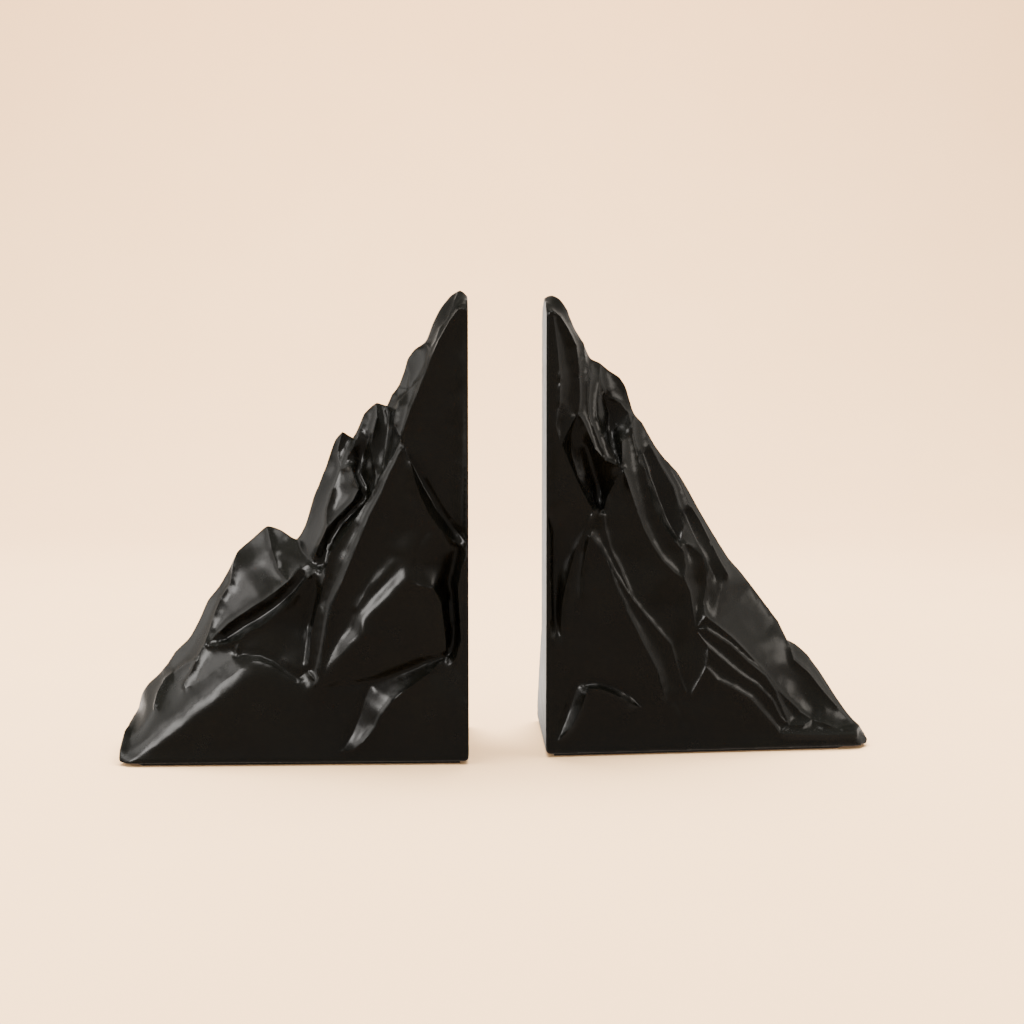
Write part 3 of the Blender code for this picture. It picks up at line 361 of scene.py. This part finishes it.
class Rock:
    """One book end's casting: its CAD mesh, in millimetres, split into its outer sides."""

    def __init__(self, name, outward):
        self.name = name
        self.node = name + "_rock_shell"
        low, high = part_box(self.node)
        self.outward = outward
        self.face_x = (high.x if outward < 0 else low.x) / MM
        self.end_x = (low.x if outward < 0 else high.x) / MM
        self.base_z = low.z / MM
        self.low = np.array(low) / MM
        self.high = np.array(high) / MM
        self.bm = bmesh.new()
        self.bm.from_mesh(bpy.data.objects[self.node].data)
        bmesh.ops.scale(self.bm, verts=self.bm.verts, vec=(1 / MM, 1 / MM, 1 / MM))
        bmesh.ops.remove_doubles(self.bm, verts=self.bm.verts, dist=SAME_PLACE * 10)
        self.bm.normal_update()
        self.tree = BVHTree.FromBMesh(self.bm)
        self.side = {face: self.side_of(face) for face in self.bm.faces}

    def side_of(self, face):
        """Which of the outer sides a face of the CAD mesh belongs to, or inner."""
        corners = [v.co for v in face.verts]
        near = SAME_PLACE * 20
        if all(abs(c.z - self.base_z) < near for c in corners):
            return "base"
        if all(abs(c.x - self.face_x) < near for c in corners):
            return "book"
        if all(abs(c.x - self.end_x) < near for c in corners):
            return "end"
        way = Vector((0, math.copysign(1, face.normal.y), 0))
        start = face.calc_center_median() + way * PROBE_GAP
        if abs(face.normal.y) > 0.001 and self.tree.ray_cast(start, way)[0] is None:
            return "front" if way.y < 0 else "back"
        return "inner"

    def depth(self, x, z, side):
        """The y of the front or back surface at this place, or None beside the rock."""
        way = 1 if side == "front" else -1
        hit = self.tree.ray_cast(Vector((x, -PROBE_START * way, z)), Vector((0, way, 0)))[0]
        return None if hit is None else hit.y

    def loops(self, side):
        """The rings around one side: its corners, each with the side beyond the edge that starts there."""
        after = {}
        for face in self.bm.faces:
            if self.side[face] != side:
                continue
            for loop in face.loops:
                others = [f for f in loop.edge.link_faces if f is not face]
                beyond = self.side[others[0]]
                if beyond != side:
                    after[loop.vert] = (loop.link_loop_next.vert, beyond)
        rings = []
        while after:
            start = next(iter(after))
            ring = []
            vert = start
            while vert in after:
                following, beyond = after.pop(vert)
                ring.append((np.array(vert.co), beyond))
                vert = following
            rings.append(ring)
        return rings


def stepped(start, end, step):
    """Points from start up to, but not including, end."""
    count = max(1, math.ceil(np.linalg.norm(end - start) / step - 0.001))
    return [start + (end - start) * i / count for i in range(count)]


def dense_ring(ring):
    """A ring of corners with points along its edges, except those that meet the inside."""
    points = []
    for i, (start, beyond) in enumerate(ring):
        end = ring[(i + 1) % len(ring)][0]
        points += [start] if beyond == "inner" else stepped(start, end, EDGE_STEP)
    return np.array(points)


def nearest(points, starts, ends):
    """Distance from every point to the nearest straight piece, and which piece that is."""
    far = np.full(len(points), 1e9)
    which = np.zeros(len(points), dtype=int)
    if not len(starts):
        return far, which
    flat = starts.shape[1] == 2
    tree = KDTree(len(starts))
    for i, middle in enumerate((starts + ends) / 2):
        tree.insert((*middle, 0) if flat else middle, i)
    tree.balance()
    looked_at = min(NEAREST_TRIED, len(starts))
    found = [[hit[1] for hit in tree.find_n((*p, 0) if flat else p, looked_at)] for p in points]
    tried = np.array(found)
    along = (ends - starts)[tried]
    offset = points[:, None, :] - starts[tried]
    t = np.clip((offset * along).sum(axis=2) / np.maximum((along**2).sum(axis=2), 1e-12), 0, 1)
    gaps = np.linalg.norm(offset - along * t[:, :, None], axis=2)
    best = gaps.argmin(axis=1)
    rows = np.arange(len(points))
    return gaps[rows, best], tried[rows, best]


def is_inside(points, ring):
    """Which points lie inside the closed ring, by counting crossings."""
    inside = np.zeros(len(points), dtype=bool)
    for start, end in zip(ring, np.roll(ring, -1, axis=0)):
        if start[1] == end[1]:
            continue
        spans = (start[1] > points[:, 1]) != (end[1] > points[:, 1])
        crossing = start[0] + (points[:, 1] - start[1]) * (end[0] - start[0]) / (end[1] - start[1])
        inside ^= spans & (points[:, 0] < crossing)
    return inside


def rows_beside(starts, ends, offsets):
    """Points to both sides of the straight pieces, at each offset."""
    along = ends - starts
    along = along / np.maximum(np.linalg.norm(along, axis=1), 1e-9)[:, None]
    across = np.stack([-along[:, 1], along[:, 0]], axis=1)
    middle = (starts + ends) / 2
    return [np.concatenate([middle + across * d, middle - across * d]) for d in offsets]


def thinned(groups):
    """The points of the groups in turn, leaving out those closer to a kept one than their gap."""
    cell = 1.0
    kept = []
    cells = {}
    for points, gap in groups:
        for x, y in points:
            home = (math.floor(x / cell), math.floor(y / cell))
            around = [(home[0] + i, home[1] + j) for i in (-1, 0, 1) for j in (-1, 0, 1)]
            close = (p for key in around for p in cells.get(key, ()))
            if all((p[0] - x) ** 2 + (p[1] - y) ** 2 >= gap**2 for p in close):
                cells.setdefault(home, []).append((x, y))
                kept.append((x, y))
    return np.array(kept)


def open_grid(ring, step):
    """A staggered grid of points over the ring."""
    low = ring.min(axis=0)
    high = ring.max(axis=0)
    rows = np.arange(low[1], high[1], step * math.sqrt(0.75))
    columns = np.arange(low[0], high[0], step)
    grid = [(x + (step / 2 if i % 2 else 0), y) for i, y in enumerate(rows) for x in columns]
    return np.array(grid)


def triangulated(rings, lines):
    """Fine triangles inside the first ring and outside the others, with edges along the lines.

    Gives the points, the faces, and for each point its place in the rings, or -1.
    """
    corners = []
    edges = []
    for ring in rings:
        first = len(corners)
        corners += list(ring)
        edges += [(first + i, first + (i + 1) % len(ring)) for i in range(len(ring))]
    fixed = len(corners)
    for line in lines:
        first = len(corners)
        corners += list(line)
        edges += [(first + i, first + i + 1) for i in range(len(line) - 1)]
    corners = np.array(corners)
    edge_array = np.array(edges)
    starts = corners[edge_array[:, 0]]
    ends = corners[edge_array[:, 1]]
    on_ring = edge_array[:, 0] < fixed
    fold_rows = rows_beside(starts[~on_ring], ends[~on_ring], FOLD_ROWS)
    edge_rows = rows_beside(starts[on_ring], ends[on_ring], EDGE_ROWS)
    groups = []
    for row, offset in zip(fold_rows + edge_rows, FOLD_ROWS + EDGE_ROWS):
        groups.append((row, offset * ROW_GAP, offset * ROW_CLEAR))
    groups.append((open_grid(rings[0], OPEN_STEP), OPEN_STEP * OPEN_GAP, OPEN_STEP * OPEN_CLEAR))
    free = []
    for points, gap, clear in groups:
        if not len(points):
            continue
        points = points[is_inside(points, rings[0])]
        for ring in rings[1:]:
            points = points[~is_inside(points, ring)]
        far, _ = nearest(points, starts, ends)
        free.append((points[far >= clear], gap))
    extra = thinned(free)
    every = [Vector(p) for p in corners] + [Vector(p) for p in extra]
    found, _, faces, origins, _, _ = delaunay_2d_cdt(every, edges, [], 0, 1e-6)
    found = np.array(found)
    faces = np.array(faces)
    middle = found[faces].mean(axis=1)
    keep = is_inside(middle, rings[0])
    for ring in rings[1:]:
        keep &= ~is_inside(middle, ring)
    ring_point = np.full(len(found), -1)
    for i, origin in enumerate(origins):
        owners = [o for o in origin if o < fixed]
        if owners:
            ring_point[i] = owners[0]
    a, b, c = (found[faces[:, i]] for i in range(3))
    doubled = np.abs((b - a)[:, 0] * (c - a)[:, 1] - (b - a)[:, 1] * (c - a)[:, 0])
    keep &= (doubled > SAME_PLACE) | (ring_point[faces] < 0).any(axis=1)
    return found, faces[keep], ring_point


def settle(points, faces, heights, hold):
    """Heights relaxed like a stretched skin, while each is pulled to its start with its hold."""
    a, b, c = (points[faces[:, i]] for i in range(3))
    starts = []
    ends = []
    weights = []
    area = np.zeros(len(points))
    doubled = np.abs((b - a)[:, 0] * (c - a)[:, 1] - (b - a)[:, 1] * (c - a)[:, 0])
    doubled = np.maximum(doubled, 1e-6)
    for i, (p, q, r) in enumerate(((a, b, c), (b, c, a), (c, a, b))):
        cotangent = ((p - r) * (q - r)).sum(axis=1) / doubled
        starts.append(faces[:, i])
        ends.append(faces[:, (i + 1) % 3])
        weights.append(np.clip(cotangent, 0.02, 20) / 2)
        np.add.at(area, faces[:, i], doubled / 6)
    starts = np.concatenate(starts)
    ends = np.concatenate(ends)
    weights = np.concatenate(weights)
    pull = hold * area
    count = len(points)

    def apply(h):
        flow = weights * (h[starts] - h[ends])
        return pull * h + np.bincount(starts, flow, count) - np.bincount(ends, flow, count)

    diagonal = pull + np.bincount(starts, weights, count) + np.bincount(ends, weights, count)
    h = heights.copy()
    rest = pull * heights - apply(h)
    scaled = rest / diagonal
    way = scaled.copy()
    size = rest @ scaled
    for _ in range(SETTLE_STEPS):
        moved = apply(way)
        step = size / (way @ moved)
        h += step * way
        rest -= step * moved
        scaled = rest / diagonal
        before = size
        size = rest @ scaled
        if size < SETTLED:
            break
        way = scaled + way * size / before
    return h


def ridge_strength(rock, side, starts, ends):
    """How much each straight piece of the folds stands proud of both its sides, from 0 to 1."""
    way = 1 if side == "front" else -1
    along = ends - starts
    along = along / np.maximum(np.linalg.norm(along, axis=1), 1e-9)[:, None]
    strength = []
    for middle, (dx, dz) in zip((starts + ends) / 2, along):
        across = (-dz * CONVEX_PROBE, dx * CONVEX_PROBE)
        here = rock.depth(middle[0], middle[1], side)
        one = rock.depth(middle[0] + across[0], middle[1] + across[1], side)
        two = rock.depth(middle[0] - across[0], middle[1] - across[1], side)
        if here is None or one is None or two is None:
            strength.append(0)
            continue
        proud = ((one + two) / 2 - here) * way
        strength.append(min(1, max(0, proud / FULL_RIDGE)))
    return np.array(strength)


def draped_side(rock, side, folds, swells):
    """The front or back of a rock as fine triangles: 3-D points, faces, and each point's relief."""
    way = 1 if side == "front" else -1
    rings3 = [dense_ring(ring) for ring in rock.loops(side)]
    rings = [ring[:, [0, 2]] for ring in rings3]
    lines = []
    least = []
    valley = []
    soft = []
    deep = []
    for name, fold in folds.items():
        line = np.array([(rock.face_x + rock.outward * u, max(z, rock.base_z)) for u, z in fold])
        points = []
        for start, end in zip(line, line[1:]):
            points += stepped(start, end, EDGE_STEP)
        lines.append(np.array(points + [line[-1]]))
        pieces = len(lines[-1]) - 1
        crisp_fold = side == "front" and name not in SOFT_FOLDS and name not in VALLEYS
        least += [LEAST_RIDGE if crisp_fold else 0] * pieces
        valley += [name in VALLEYS] * pieces
        soft += [name in SOFT_FOLDS] * pieces
        deep += [name in CLEFTS] * pieces
    found, faces, ring_point = triangulated(rings, lines)
    boundary = np.concatenate(rings3)
    y = np.zeros(len(found))
    for i, (x, z) in enumerate(found):
        if ring_point[i] >= 0:
            y[i] = boundary[ring_point[i], 1]
        else:
            y[i] = rock.depth(x, z, side)  # every fold stays inside the outline
    starts = np.concatenate([line[:-1] for line in lines])
    ends = np.concatenate([line[1:] for line in lines])
    least = np.array(least)
    valley = np.array(valley)
    soft = np.array(soft)
    deep = np.array(deep)
    strength = ridge_strength(rock, side, starts, ends)
    strength = np.maximum(strength, least)
    strength[valley | soft] = 0
    if side == "back":
        strength *= BACK_RIDGES
    ring_starts = np.concatenate(rings)
    ring_ends = np.concatenate([np.roll(ring, -1, axis=0) for ring in rings])
    edge_far, _ = nearest(found, ring_starts, ring_ends)
    fold_far, which = nearest(found, starts, ends)
    hold = np.full(len(found), DRAPE_LENGTH**-2)
    soft_far, _ = nearest(found, starts[soft], ends[soft])
    hold[soft_far < SOFT_REACH] = SOFT_DRAPE_LENGTH**-2
    on_fold = fold_far < ON_LINE
    hold[on_fold] += strength[which[on_fold]] * RIDGE_HOLD + valley[which[on_fold]] * VALLEY_HOLD
    hold[edge_far < ON_LINE] = EDGE_HOLD
    y = settle(found, faces, y, hold)
    on_ring = ring_point >= 0
    y[on_ring] = boundary[ring_point[on_ring], 1]
    crisp = np.zeros(len(found))
    bead = np.zeros(len(found))
    for level in RIDGE_LEVELS:
        chosen = strength >= level - RIDGE_LEVELS[0] / 2
        far, _ = nearest(found, starts[chosen], ends[chosen])
        crisp = np.maximum(crisp, level * np.exp(-far / FLANK_REACH))
        bead = np.maximum(bead, level * np.exp(-((far / BEAD_RADIUS) ** 2)))
    crease_far, _ = nearest(found, starts[valley], ends[valley])
    inland = 1 - np.exp(-edge_far / FLANK_REACH)
    relief = BEAD_HEIGHT * bead * (1 - np.exp(-edge_far / BEAD_FADE))
    relief -= FLANK_DEPTH * inland * (1 - crisp)
    for height, width, path in swells:
        way_points = np.array([(rock.face_x + rock.outward * u, z) for u, z in path])
        far, _ = nearest(found, way_points[:-1], way_points[1:])
        relief += height * inland * np.exp(-((far / width) ** 2))
    relief -= CREASE_DEPTH * inland * np.exp(-((crease_far / CREASE_REACH) ** 2))
    deep_far, _ = nearest(found, starts[deep], ends[deep])
    relief -= CLEFT_DEPTH * inland * np.exp(-((deep_far / CREASE_REACH) ** 2))
    for i, (x, z) in enumerate(found):
        place = Vector((x, y[i], z)) / RIPPLE_LENGTH
        relief[i] += RIPPLE_HEIGHT * inland[i] * noise.fractal(place, 1.0, 2.0, 3)
    points = np.stack([found[:, 0], y, found[:, 1]], axis=1)
    return points, faces, relief


def flat_side(rock, side, axes):
    """A flat side of a rock as fine triangles: 3-D points, faces, and no relief."""
    rings3 = sorted((dense_ring(ring) for ring in rock.loops(side)), key=lambda r: -np.ptp(r, axis=0).max())
    found, faces, _ = triangulated([ring[:, axes] for ring in rings3], [])
    flat_axis = 3 - sum(axes)
    points = np.full((len(found), 3), rings3[0][0, flat_axis])
    points[:, axes] = found
    return points, faces, np.zeros(len(points))


def smoothed(points, pairs, count, amount, strengths):
    """Moves the points towards, or for a negative strength away from, their neighbours' middle."""
    for strength in strengths:
        total = np.zeros_like(points)
        np.add.at(total, pairs[:, 0], points[pairs[:, 1]])
        np.add.at(total, pairs[:, 1], points[pairs[:, 0]])
        points = points + (total / count[:, None] - points) * (amount * strength)[:, None]
    return points


def nearness(points, edges, reach):
    """From 1 on the given straight pieces to 0 at the reach."""
    far, _ = nearest(points, edges[:, 0], edges[:, 1])
    share = np.clip(1 - far / reach, 0, 1)
    return share * share * (3 - 2 * share)


def rounded(points, faces, crest, corners):
    """Rounds the crest along its own line, takes its neighbours along, and softens all the edges."""
    pairs = np.concatenate([faces[:, [0, 1]], faces[:, [1, 2]], faces[:, [2, 0]]])
    pairs = np.unique(np.sort(pairs, axis=1), axis=0)
    count = np.bincount(pairs.ravel(), minlength=len(points))
    at_corner = nearness(points, corners, ROUNDING_REACH)
    crest_far, _ = nearest(points, crest[:, 0], crest[:, 1])
    on_crest = crest_far < SAME_PLACE * 20
    line = pairs[on_crest[pairs].all(axis=1)]
    links = np.bincount(line.ravel(), minlength=len(points))
    eased = smoothed(points, line, np.maximum(links, 1), 1.0 * (links == 2), CREST_STRENGTHS)
    points = points + smoothed(eased - points, pairs, count, 1.0 - on_crest, SPREAD_STRENGTHS)
    near_crest = np.clip(1 - crest_far / ROUNDING_REACH, 0, 1) * (1 - at_corner)
    points = smoothed(points, pairs, count, near_crest, SOFTENING_STRENGTHS)
    return smoothed(points, pairs, count, at_corner, ROUNDING_STRENGTHS)


def rock_skin(rock, folds, rear_folds, swells):
    """The whole refined casting: fine outer sides joined to the CAD mesh's own recesses and cavity."""
    bm = bmesh.new()
    sides = [
        draped_side(rock, "front", folds, swells),
        draped_side(rock, "back", rear_folds, []),
        flat_side(rock, "book", [1, 2]),
        flat_side(rock, "end", [1, 2]),
        flat_side(rock, "base", [0, 1]),
    ]
    relief_layer = bm.verts.layers.float.new("relief")
    for points, faces, relief in sides:
        verts = [bm.verts.new(p) for p in points]
        for vert, lift in zip(verts, relief):
            vert[relief_layer] = lift
        for face in faces:
            bm.faces.new([verts[i] for i in face])
    inner_verts = {}
    for face in rock.bm.faces:
        if rock.side[face] == "inner":
            for vert in face.verts:
                if vert not in inner_verts:
                    inner_verts[vert] = bm.verts.new(vert.co)
            bm.faces.new([inner_verts[v] for v in face.verts])
    bmesh.ops.remove_doubles(bm, verts=bm.verts, dist=SAME_PLACE * 10)
    loose = [v for v in bm.verts if not v.link_faces]
    bmesh.ops.delete(bm, geom=loose, context="VERTS")
    bmesh.ops.recalc_face_normals(bm, faces=bm.faces)
    bm.verts.index_update()
    bm.normal_update()
    points = np.array([v.co + v.normal * v[relief_layer] for v in bm.verts])
    faces = np.array([[v.index for v in f.verts] for f in bm.faces])
    crest = []
    corners = []
    for side in ("front", "back", "book", "end", "base"):
        for ring in rock.loops(side):
            for i, (start, beyond) in enumerate(ring):
                if beyond == "inner":
                    continue
                along = stepped(start, ring[(i + 1) % len(ring)][0], EDGE_STEP)
                along.append(ring[(i + 1) % len(ring)][0])
                kind = crest if {side, beyond} == {"front", "back"} else corners
                kind += zip(along, along[1:])
    points = rounded(points, faces, np.array(crest), np.array(corners))
    # Rounding lowers the peak, so the whole skin is stretched back to the CAD's height.
    rise = points[:, 2] - rock.low[2]
    points[:, 2] = rock.low[2] + rise * (rock.high[2] - rock.low[2]) / rise.max()
    points = np.clip(points, rock.low, rock.high)
    for vert, point in zip(bm.verts, points):
        vert.co = point
    bmesh.ops.scale(bm, verts=bm.verts, vec=(MM, MM, MM))
    mesh = bpy.data.meshes.new(rock.name + "_rock_skin")
    bm.to_mesh(mesh)
    bm.free()
    mesh.shade_smooth()
    mesh.set_sharp_from_angle(angle=SHARP_ANGLE)
    obj = bpy.data.objects.new(rock.name + "_rock_skin", mesh)
    bpy.context.scene.collection.objects.link(obj)
    return obj


def new_material(name):
    """A material with its nodes, links and Principled shader."""
    material = bpy.data.materials.new(name)
    material.use_nodes = True
    nodes = material.node_tree.nodes
    return material, nodes, material.node_tree.links, nodes["Principled BSDF"]


def add_node(nodes, kind, **values):
    """A shader node with these input values."""
    node = nodes.new(kind)
    for key, value in values.items():
        node.inputs[key.replace("_", " ")].default_value = value
    return node


def ramp_between(nodes, links, source, low, high):
    """A colour ramp from one colour to another, driven by the source."""
    ramp = nodes.new("ShaderNodeValToRGB")
    ramp.color_ramp.elements[0].position = low[0]
    ramp.color_ramp.elements[0].color = (*low[1], 1)
    ramp.color_ramp.elements[1].position = high[0]
    ramp.color_ramp.elements[1].color = (*high[1], 1)
    links.new(source, ramp.inputs["Fac"])
    return ramp.outputs["Color"]


def mapped(nodes, links, source, start, end):
    """The source's value taken from one range to another."""
    spread = nodes.new("ShaderNodeMapRange")
    spread.inputs["From Min"].default_value = start[0]
    spread.inputs["From Max"].default_value = start[1]
    spread.inputs["To Min"].default_value = end[0]
    spread.inputs["To Max"].default_value = end[1]
    links.new(source, spread.inputs["Value"])
    return spread.outputs["Result"]


def product(nodes, links, one, two):
    """Two values multiplied."""
    times = nodes.new("ShaderNodeMath")
    times.operation = "MULTIPLY"
    links.new(one, times.inputs[0])
    links.new(two, times.inputs[1])
    return times.outputs[0]


def satin_black():
    """Satin black lacquer over cast resin: faint mottling, slightly uneven gloss and orange peel."""
    material, nodes, links, shader = new_material("satin_black_resin")
    place = nodes.new("ShaderNodeTexCoord")
    mottle = add_node(nodes, "ShaderNodeTexNoise", Scale=55.0, Detail=6.0, Roughness=0.6)
    links.new(place.outputs["Object"], mottle.inputs["Vector"])
    tint = ramp_between(
        nodes, links, mottle.outputs["Fac"], (0.3, RESIN_TONES[0]), (0.7, RESIN_TONES[1])
    )
    links.new(tint, shader.inputs["Base Color"])
    gloss = add_node(nodes, "ShaderNodeTexNoise", Scale=140.0, Detail=4.0, Roughness=0.6)
    links.new(place.outputs["Object"], gloss.inputs["Vector"])
    spread = mapped(nodes, links, gloss.outputs["Fac"], (0.3, 0.7), RESIN_ROUGHNESS)
    links.new(spread, shader.inputs["Roughness"])
    peel = add_node(nodes, "ShaderNodeTexNoise", Scale=900.0, Detail=3.0, Roughness=0.5)
    links.new(place.outputs["Object"], peel.inputs["Vector"])
    bump = add_node(nodes, "ShaderNodeBump", Strength=0.06, Distance=0.0002)
    links.new(peel.outputs["Fac"], bump.inputs["Height"])
    links.new(bump.outputs["Normal"], shader.inputs["Normal"])
    shader.inputs["Specular IOR Level"].default_value = 0.35
    return material


def grained(name, dark, light, roughness, metallic, scale, bump_strength):
    """A plain material with grain: two tones, uneven roughness and a fine bump."""
    material, nodes, links, shader = new_material(name)
    place = nodes.new("ShaderNodeTexCoord")
    grain = add_node(nodes, "ShaderNodeTexNoise", Scale=scale, Detail=5.0, Roughness=0.6)
    links.new(place.outputs["Object"], grain.inputs["Vector"])
    tint = ramp_between(nodes, links, grain.outputs["Fac"], (0.35, dark), (0.65, light))
    links.new(tint, shader.inputs["Base Color"])
    ends = (roughness - ROUGHNESS_SPREAD, roughness + ROUGHNESS_SPREAD)
    spread = mapped(nodes, links, grain.outputs["Fac"], (0, 1), ends)
    links.new(spread, shader.inputs["Roughness"])
    bump = add_node(nodes, "ShaderNodeBump", Strength=bump_strength, Distance=0.0003)
    links.new(grain.outputs["Fac"], bump.inputs["Height"])
    links.new(bump.outputs["Normal"], shader.inputs["Normal"])
    shader.inputs["Metallic"].default_value = metallic
    return material


def paint(node, material):
    """Gives a shown CAD node this material alone."""
    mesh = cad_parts[node].data
    mesh.materials.clear()
    mesh.materials.append(material)


def sweep():
    """A paper backdrop that curves from the floor up into the wall.

    It gives off a little light. Reflections show it as a separate glow, which is brightest behind the
    blocks and fades upwards and to the sides.
    """
    profile = [(SWEEP_FRONT, 0.0)]
    for i in range(SWEEP_PARTS + 1):
        angle = math.pi / 2 * i / SWEEP_PARTS
        y = SWEEP_BACK - SWEEP_RADIUS + SWEEP_RADIUS * math.sin(angle)
        z = SWEEP_RADIUS - SWEEP_RADIUS * math.cos(angle)
        profile.append((y, z))
    profile.append((SWEEP_BACK, SWEEP_HEIGHT))
    bm = bmesh.new()
    rows = []
    for x in (-SWEEP_WIDTH / 2, SWEEP_WIDTH / 2):
        rows.append([bm.verts.new((x, y, z)) for y, z in profile])
    for i in range(len(profile) - 1):
        bm.faces.new([rows[0][i], rows[1][i], rows[1][i + 1], rows[0][i + 1]])
    mesh = bpy.data.meshes.new("backdrop")
    bm.to_mesh(mesh)
    bm.free()
    mesh.shade_smooth()
    obj = bpy.data.objects.new("backdrop", mesh)
    bpy.context.scene.collection.objects.link(obj)
    material, nodes, links, shader = new_material("backdrop_paper")
    place = nodes.new("ShaderNodeTexCoord")
    fibre = add_node(nodes, "ShaderNodeTexNoise", Scale=6.0, Detail=6.0, Roughness=0.6)
    links.new(place.outputs["Object"], fibre.inputs["Vector"])
    tint = ramp_between(
        nodes, links, fibre.outputs["Fac"], (0.3, PAPER_TONES[0]), (0.7, PAPER_TONES[1])
    )
    links.new(tint, shader.inputs["Base Color"])
    shader.inputs["Roughness"].default_value = 0.75
    shader.inputs["Specular IOR Level"].default_value = 0.2
    shader.inputs["Emission Color"].default_value = (1.0, 0.62, 0.34, 1)
    shader.inputs["Emission Strength"].default_value = PAPER_GLOW
    path = nodes.new("ShaderNodeLightPath")
    split = nodes.new("ShaderNodeSeparateXYZ")
    links.new(place.outputs["Object"], split.inputs[0])
    depth = mapped(nodes, links, split.outputs["Y"], *GLOW_BY_DEPTH)
    height = mapped(nodes, links, split.outputs["Z"], *GLOW_BY_HEIGHT)
    aside = nodes.new("ShaderNodeMath")
    aside.operation = "ABSOLUTE"
    links.new(split.outputs["X"], aside.inputs[0])
    flank = mapped(nodes, links, aside.outputs[0], *GLOW_ASIDE)
    glow = product(nodes, links, product(nodes, links, depth, height), flank)
    mirrored = add_node(nodes, "ShaderNodeEmission", Color=(1.0, 0.9, 0.8, 1))
    links.new(glow, mirrored.inputs["Strength"])
    mix = nodes.new("ShaderNodeMixShader")
    links.new(path.outputs["Is Glossy Ray"], mix.inputs["Fac"])
    links.new(shader.outputs[0], mix.inputs[1])
    links.new(mirrored.outputs[0], mix.inputs[2])
    links.new(mix.outputs[0], nodes["Material Output"].inputs["Surface"])
    mesh.materials.append(material)
    return obj


def area_light(name, place, aim, size, power, colour):
    """A soft light at a place, turned to its aim."""
    data = bpy.data.lights.new(name, "AREA")
    data.shape = "RECTANGLE"
    data.size = size[0]
    data.size_y = size[1]
    data.energy = power
    data.color = colour
    light = bpy.data.objects.new(name, data)
    light.location = place
    light.rotation_euler = (Vector(aim) - Vector(place)).to_track_quat("-Z", "Y").to_euler()
    bpy.context.scene.collection.objects.link(light)
    return light


def lights():
    """Two side panels, four smaller lights, a top light that reflections don't show, and the room."""
    area_light("left_panel", (-1.2, 0.2, 0.5), LIGHT_AIM, (1.4, 1.0), 4.0, NEUTRAL)
    area_light("right_panel", (1.2, 0.1, 0.5), LIGHT_AIM, (1.6, 1.0), 2.2, WARM)
    area_light("key_light", (-1.0, -0.3, 0.65), LIGHT_AIM, (0.4, 0.4), 1.6, NEUTRAL)
    area_light("fill_light", (0.95, -0.4, 0.6), LIGHT_AIM, (0.35, 0.35), 1.6, WARM)
    area_light("front_light", (-0.8, -0.72, 0.62), LIGHT_AIM, (0.35, 0.35), 6.0, NEUTRAL)
    area_light("ridge_light", (-0.1, -0.5, 1.3), LIGHT_AIM, (0.6, 0.4), 4.5, NEUTRAL)
    top = area_light("top_light", (0.0, 0.3, 1.5), (0, 0.2, 0.0), (1.8, 1.2), 170.0, NEUTRAL)
    top.visible_glossy = False
    world = bpy.data.worlds.new("soft_room")
    world.use_nodes = True
    world.node_tree.nodes["Background"].inputs["Color"].default_value = (1.0, 0.93, 0.85, 1)
    world.node_tree.nodes["Background"].inputs["Strength"].default_value = WORLD_STRENGTH
    bpy.context.scene.world = world


def camera():
    """The photo's estimated view."""
    data = bpy.data.cameras.new("camera")
    data.lens = CAMERA_LENS
    data.sensor_width = 36.0
    data.clip_start = 0.01
    obj = bpy.data.objects.new("camera", data)
    obj.location = CAMERA_PLACE
    obj.rotation_euler = (math.radians(90 - CAMERA_DOWN), 0, math.radians(CAMERA_TURN))
    bpy.context.scene.collection.objects.link(obj)
    bpy.context.scene.camera = obj


def main():
    """Both skins, the other pieces' materials, and the stage."""
    resin = satin_black()
    rubber = grained("pad_rubber", (0.012, 0.012, 0.012), (0.03, 0.03, 0.03), 0.8, 0.0, 600.0, 0.3)
    plate = grained("plate_steel", (0.3, 0.3, 0.29), (0.42, 0.42, 0.41), 0.38, 1.0, 260.0, 0.15)
    screw = grained("screw_steel", (0.42, 0.42, 0.41), (0.55, 0.55, 0.54), 0.3, 1.0, 700.0, 0.1)
    cement = grained("ballast_cement", (0.2, 0.19, 0.18), (0.36, 0.35, 0.32), 0.88, 0.0, 240.0, 0.6)
    for name, outward, folds, rear, swells in (
        ("left", -1, LEFT_FOLDS, LEFT_REAR_FOLDS, LEFT_SWELLS),
        ("right", 1, RIGHT_FOLDS, RIGHT_REAR_FOLDS, []),
    ):
        skin = rock_skin(Rock(name, outward), folds, rear, swells)
        skin.data.materials.append(resin)
        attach(skin, name + "_bookend")
        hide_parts(name + "_rock_shell")
        paint(name + "_anti_slip_pad", rubber)
        paint(name + "_base_plate", plate)
        paint(name + "_ballast", cement)
        for number in range(1, 5):
            paint(f"{name}_base_screw_{number}", screw)
    sweep()
    lights()
    camera()


main()
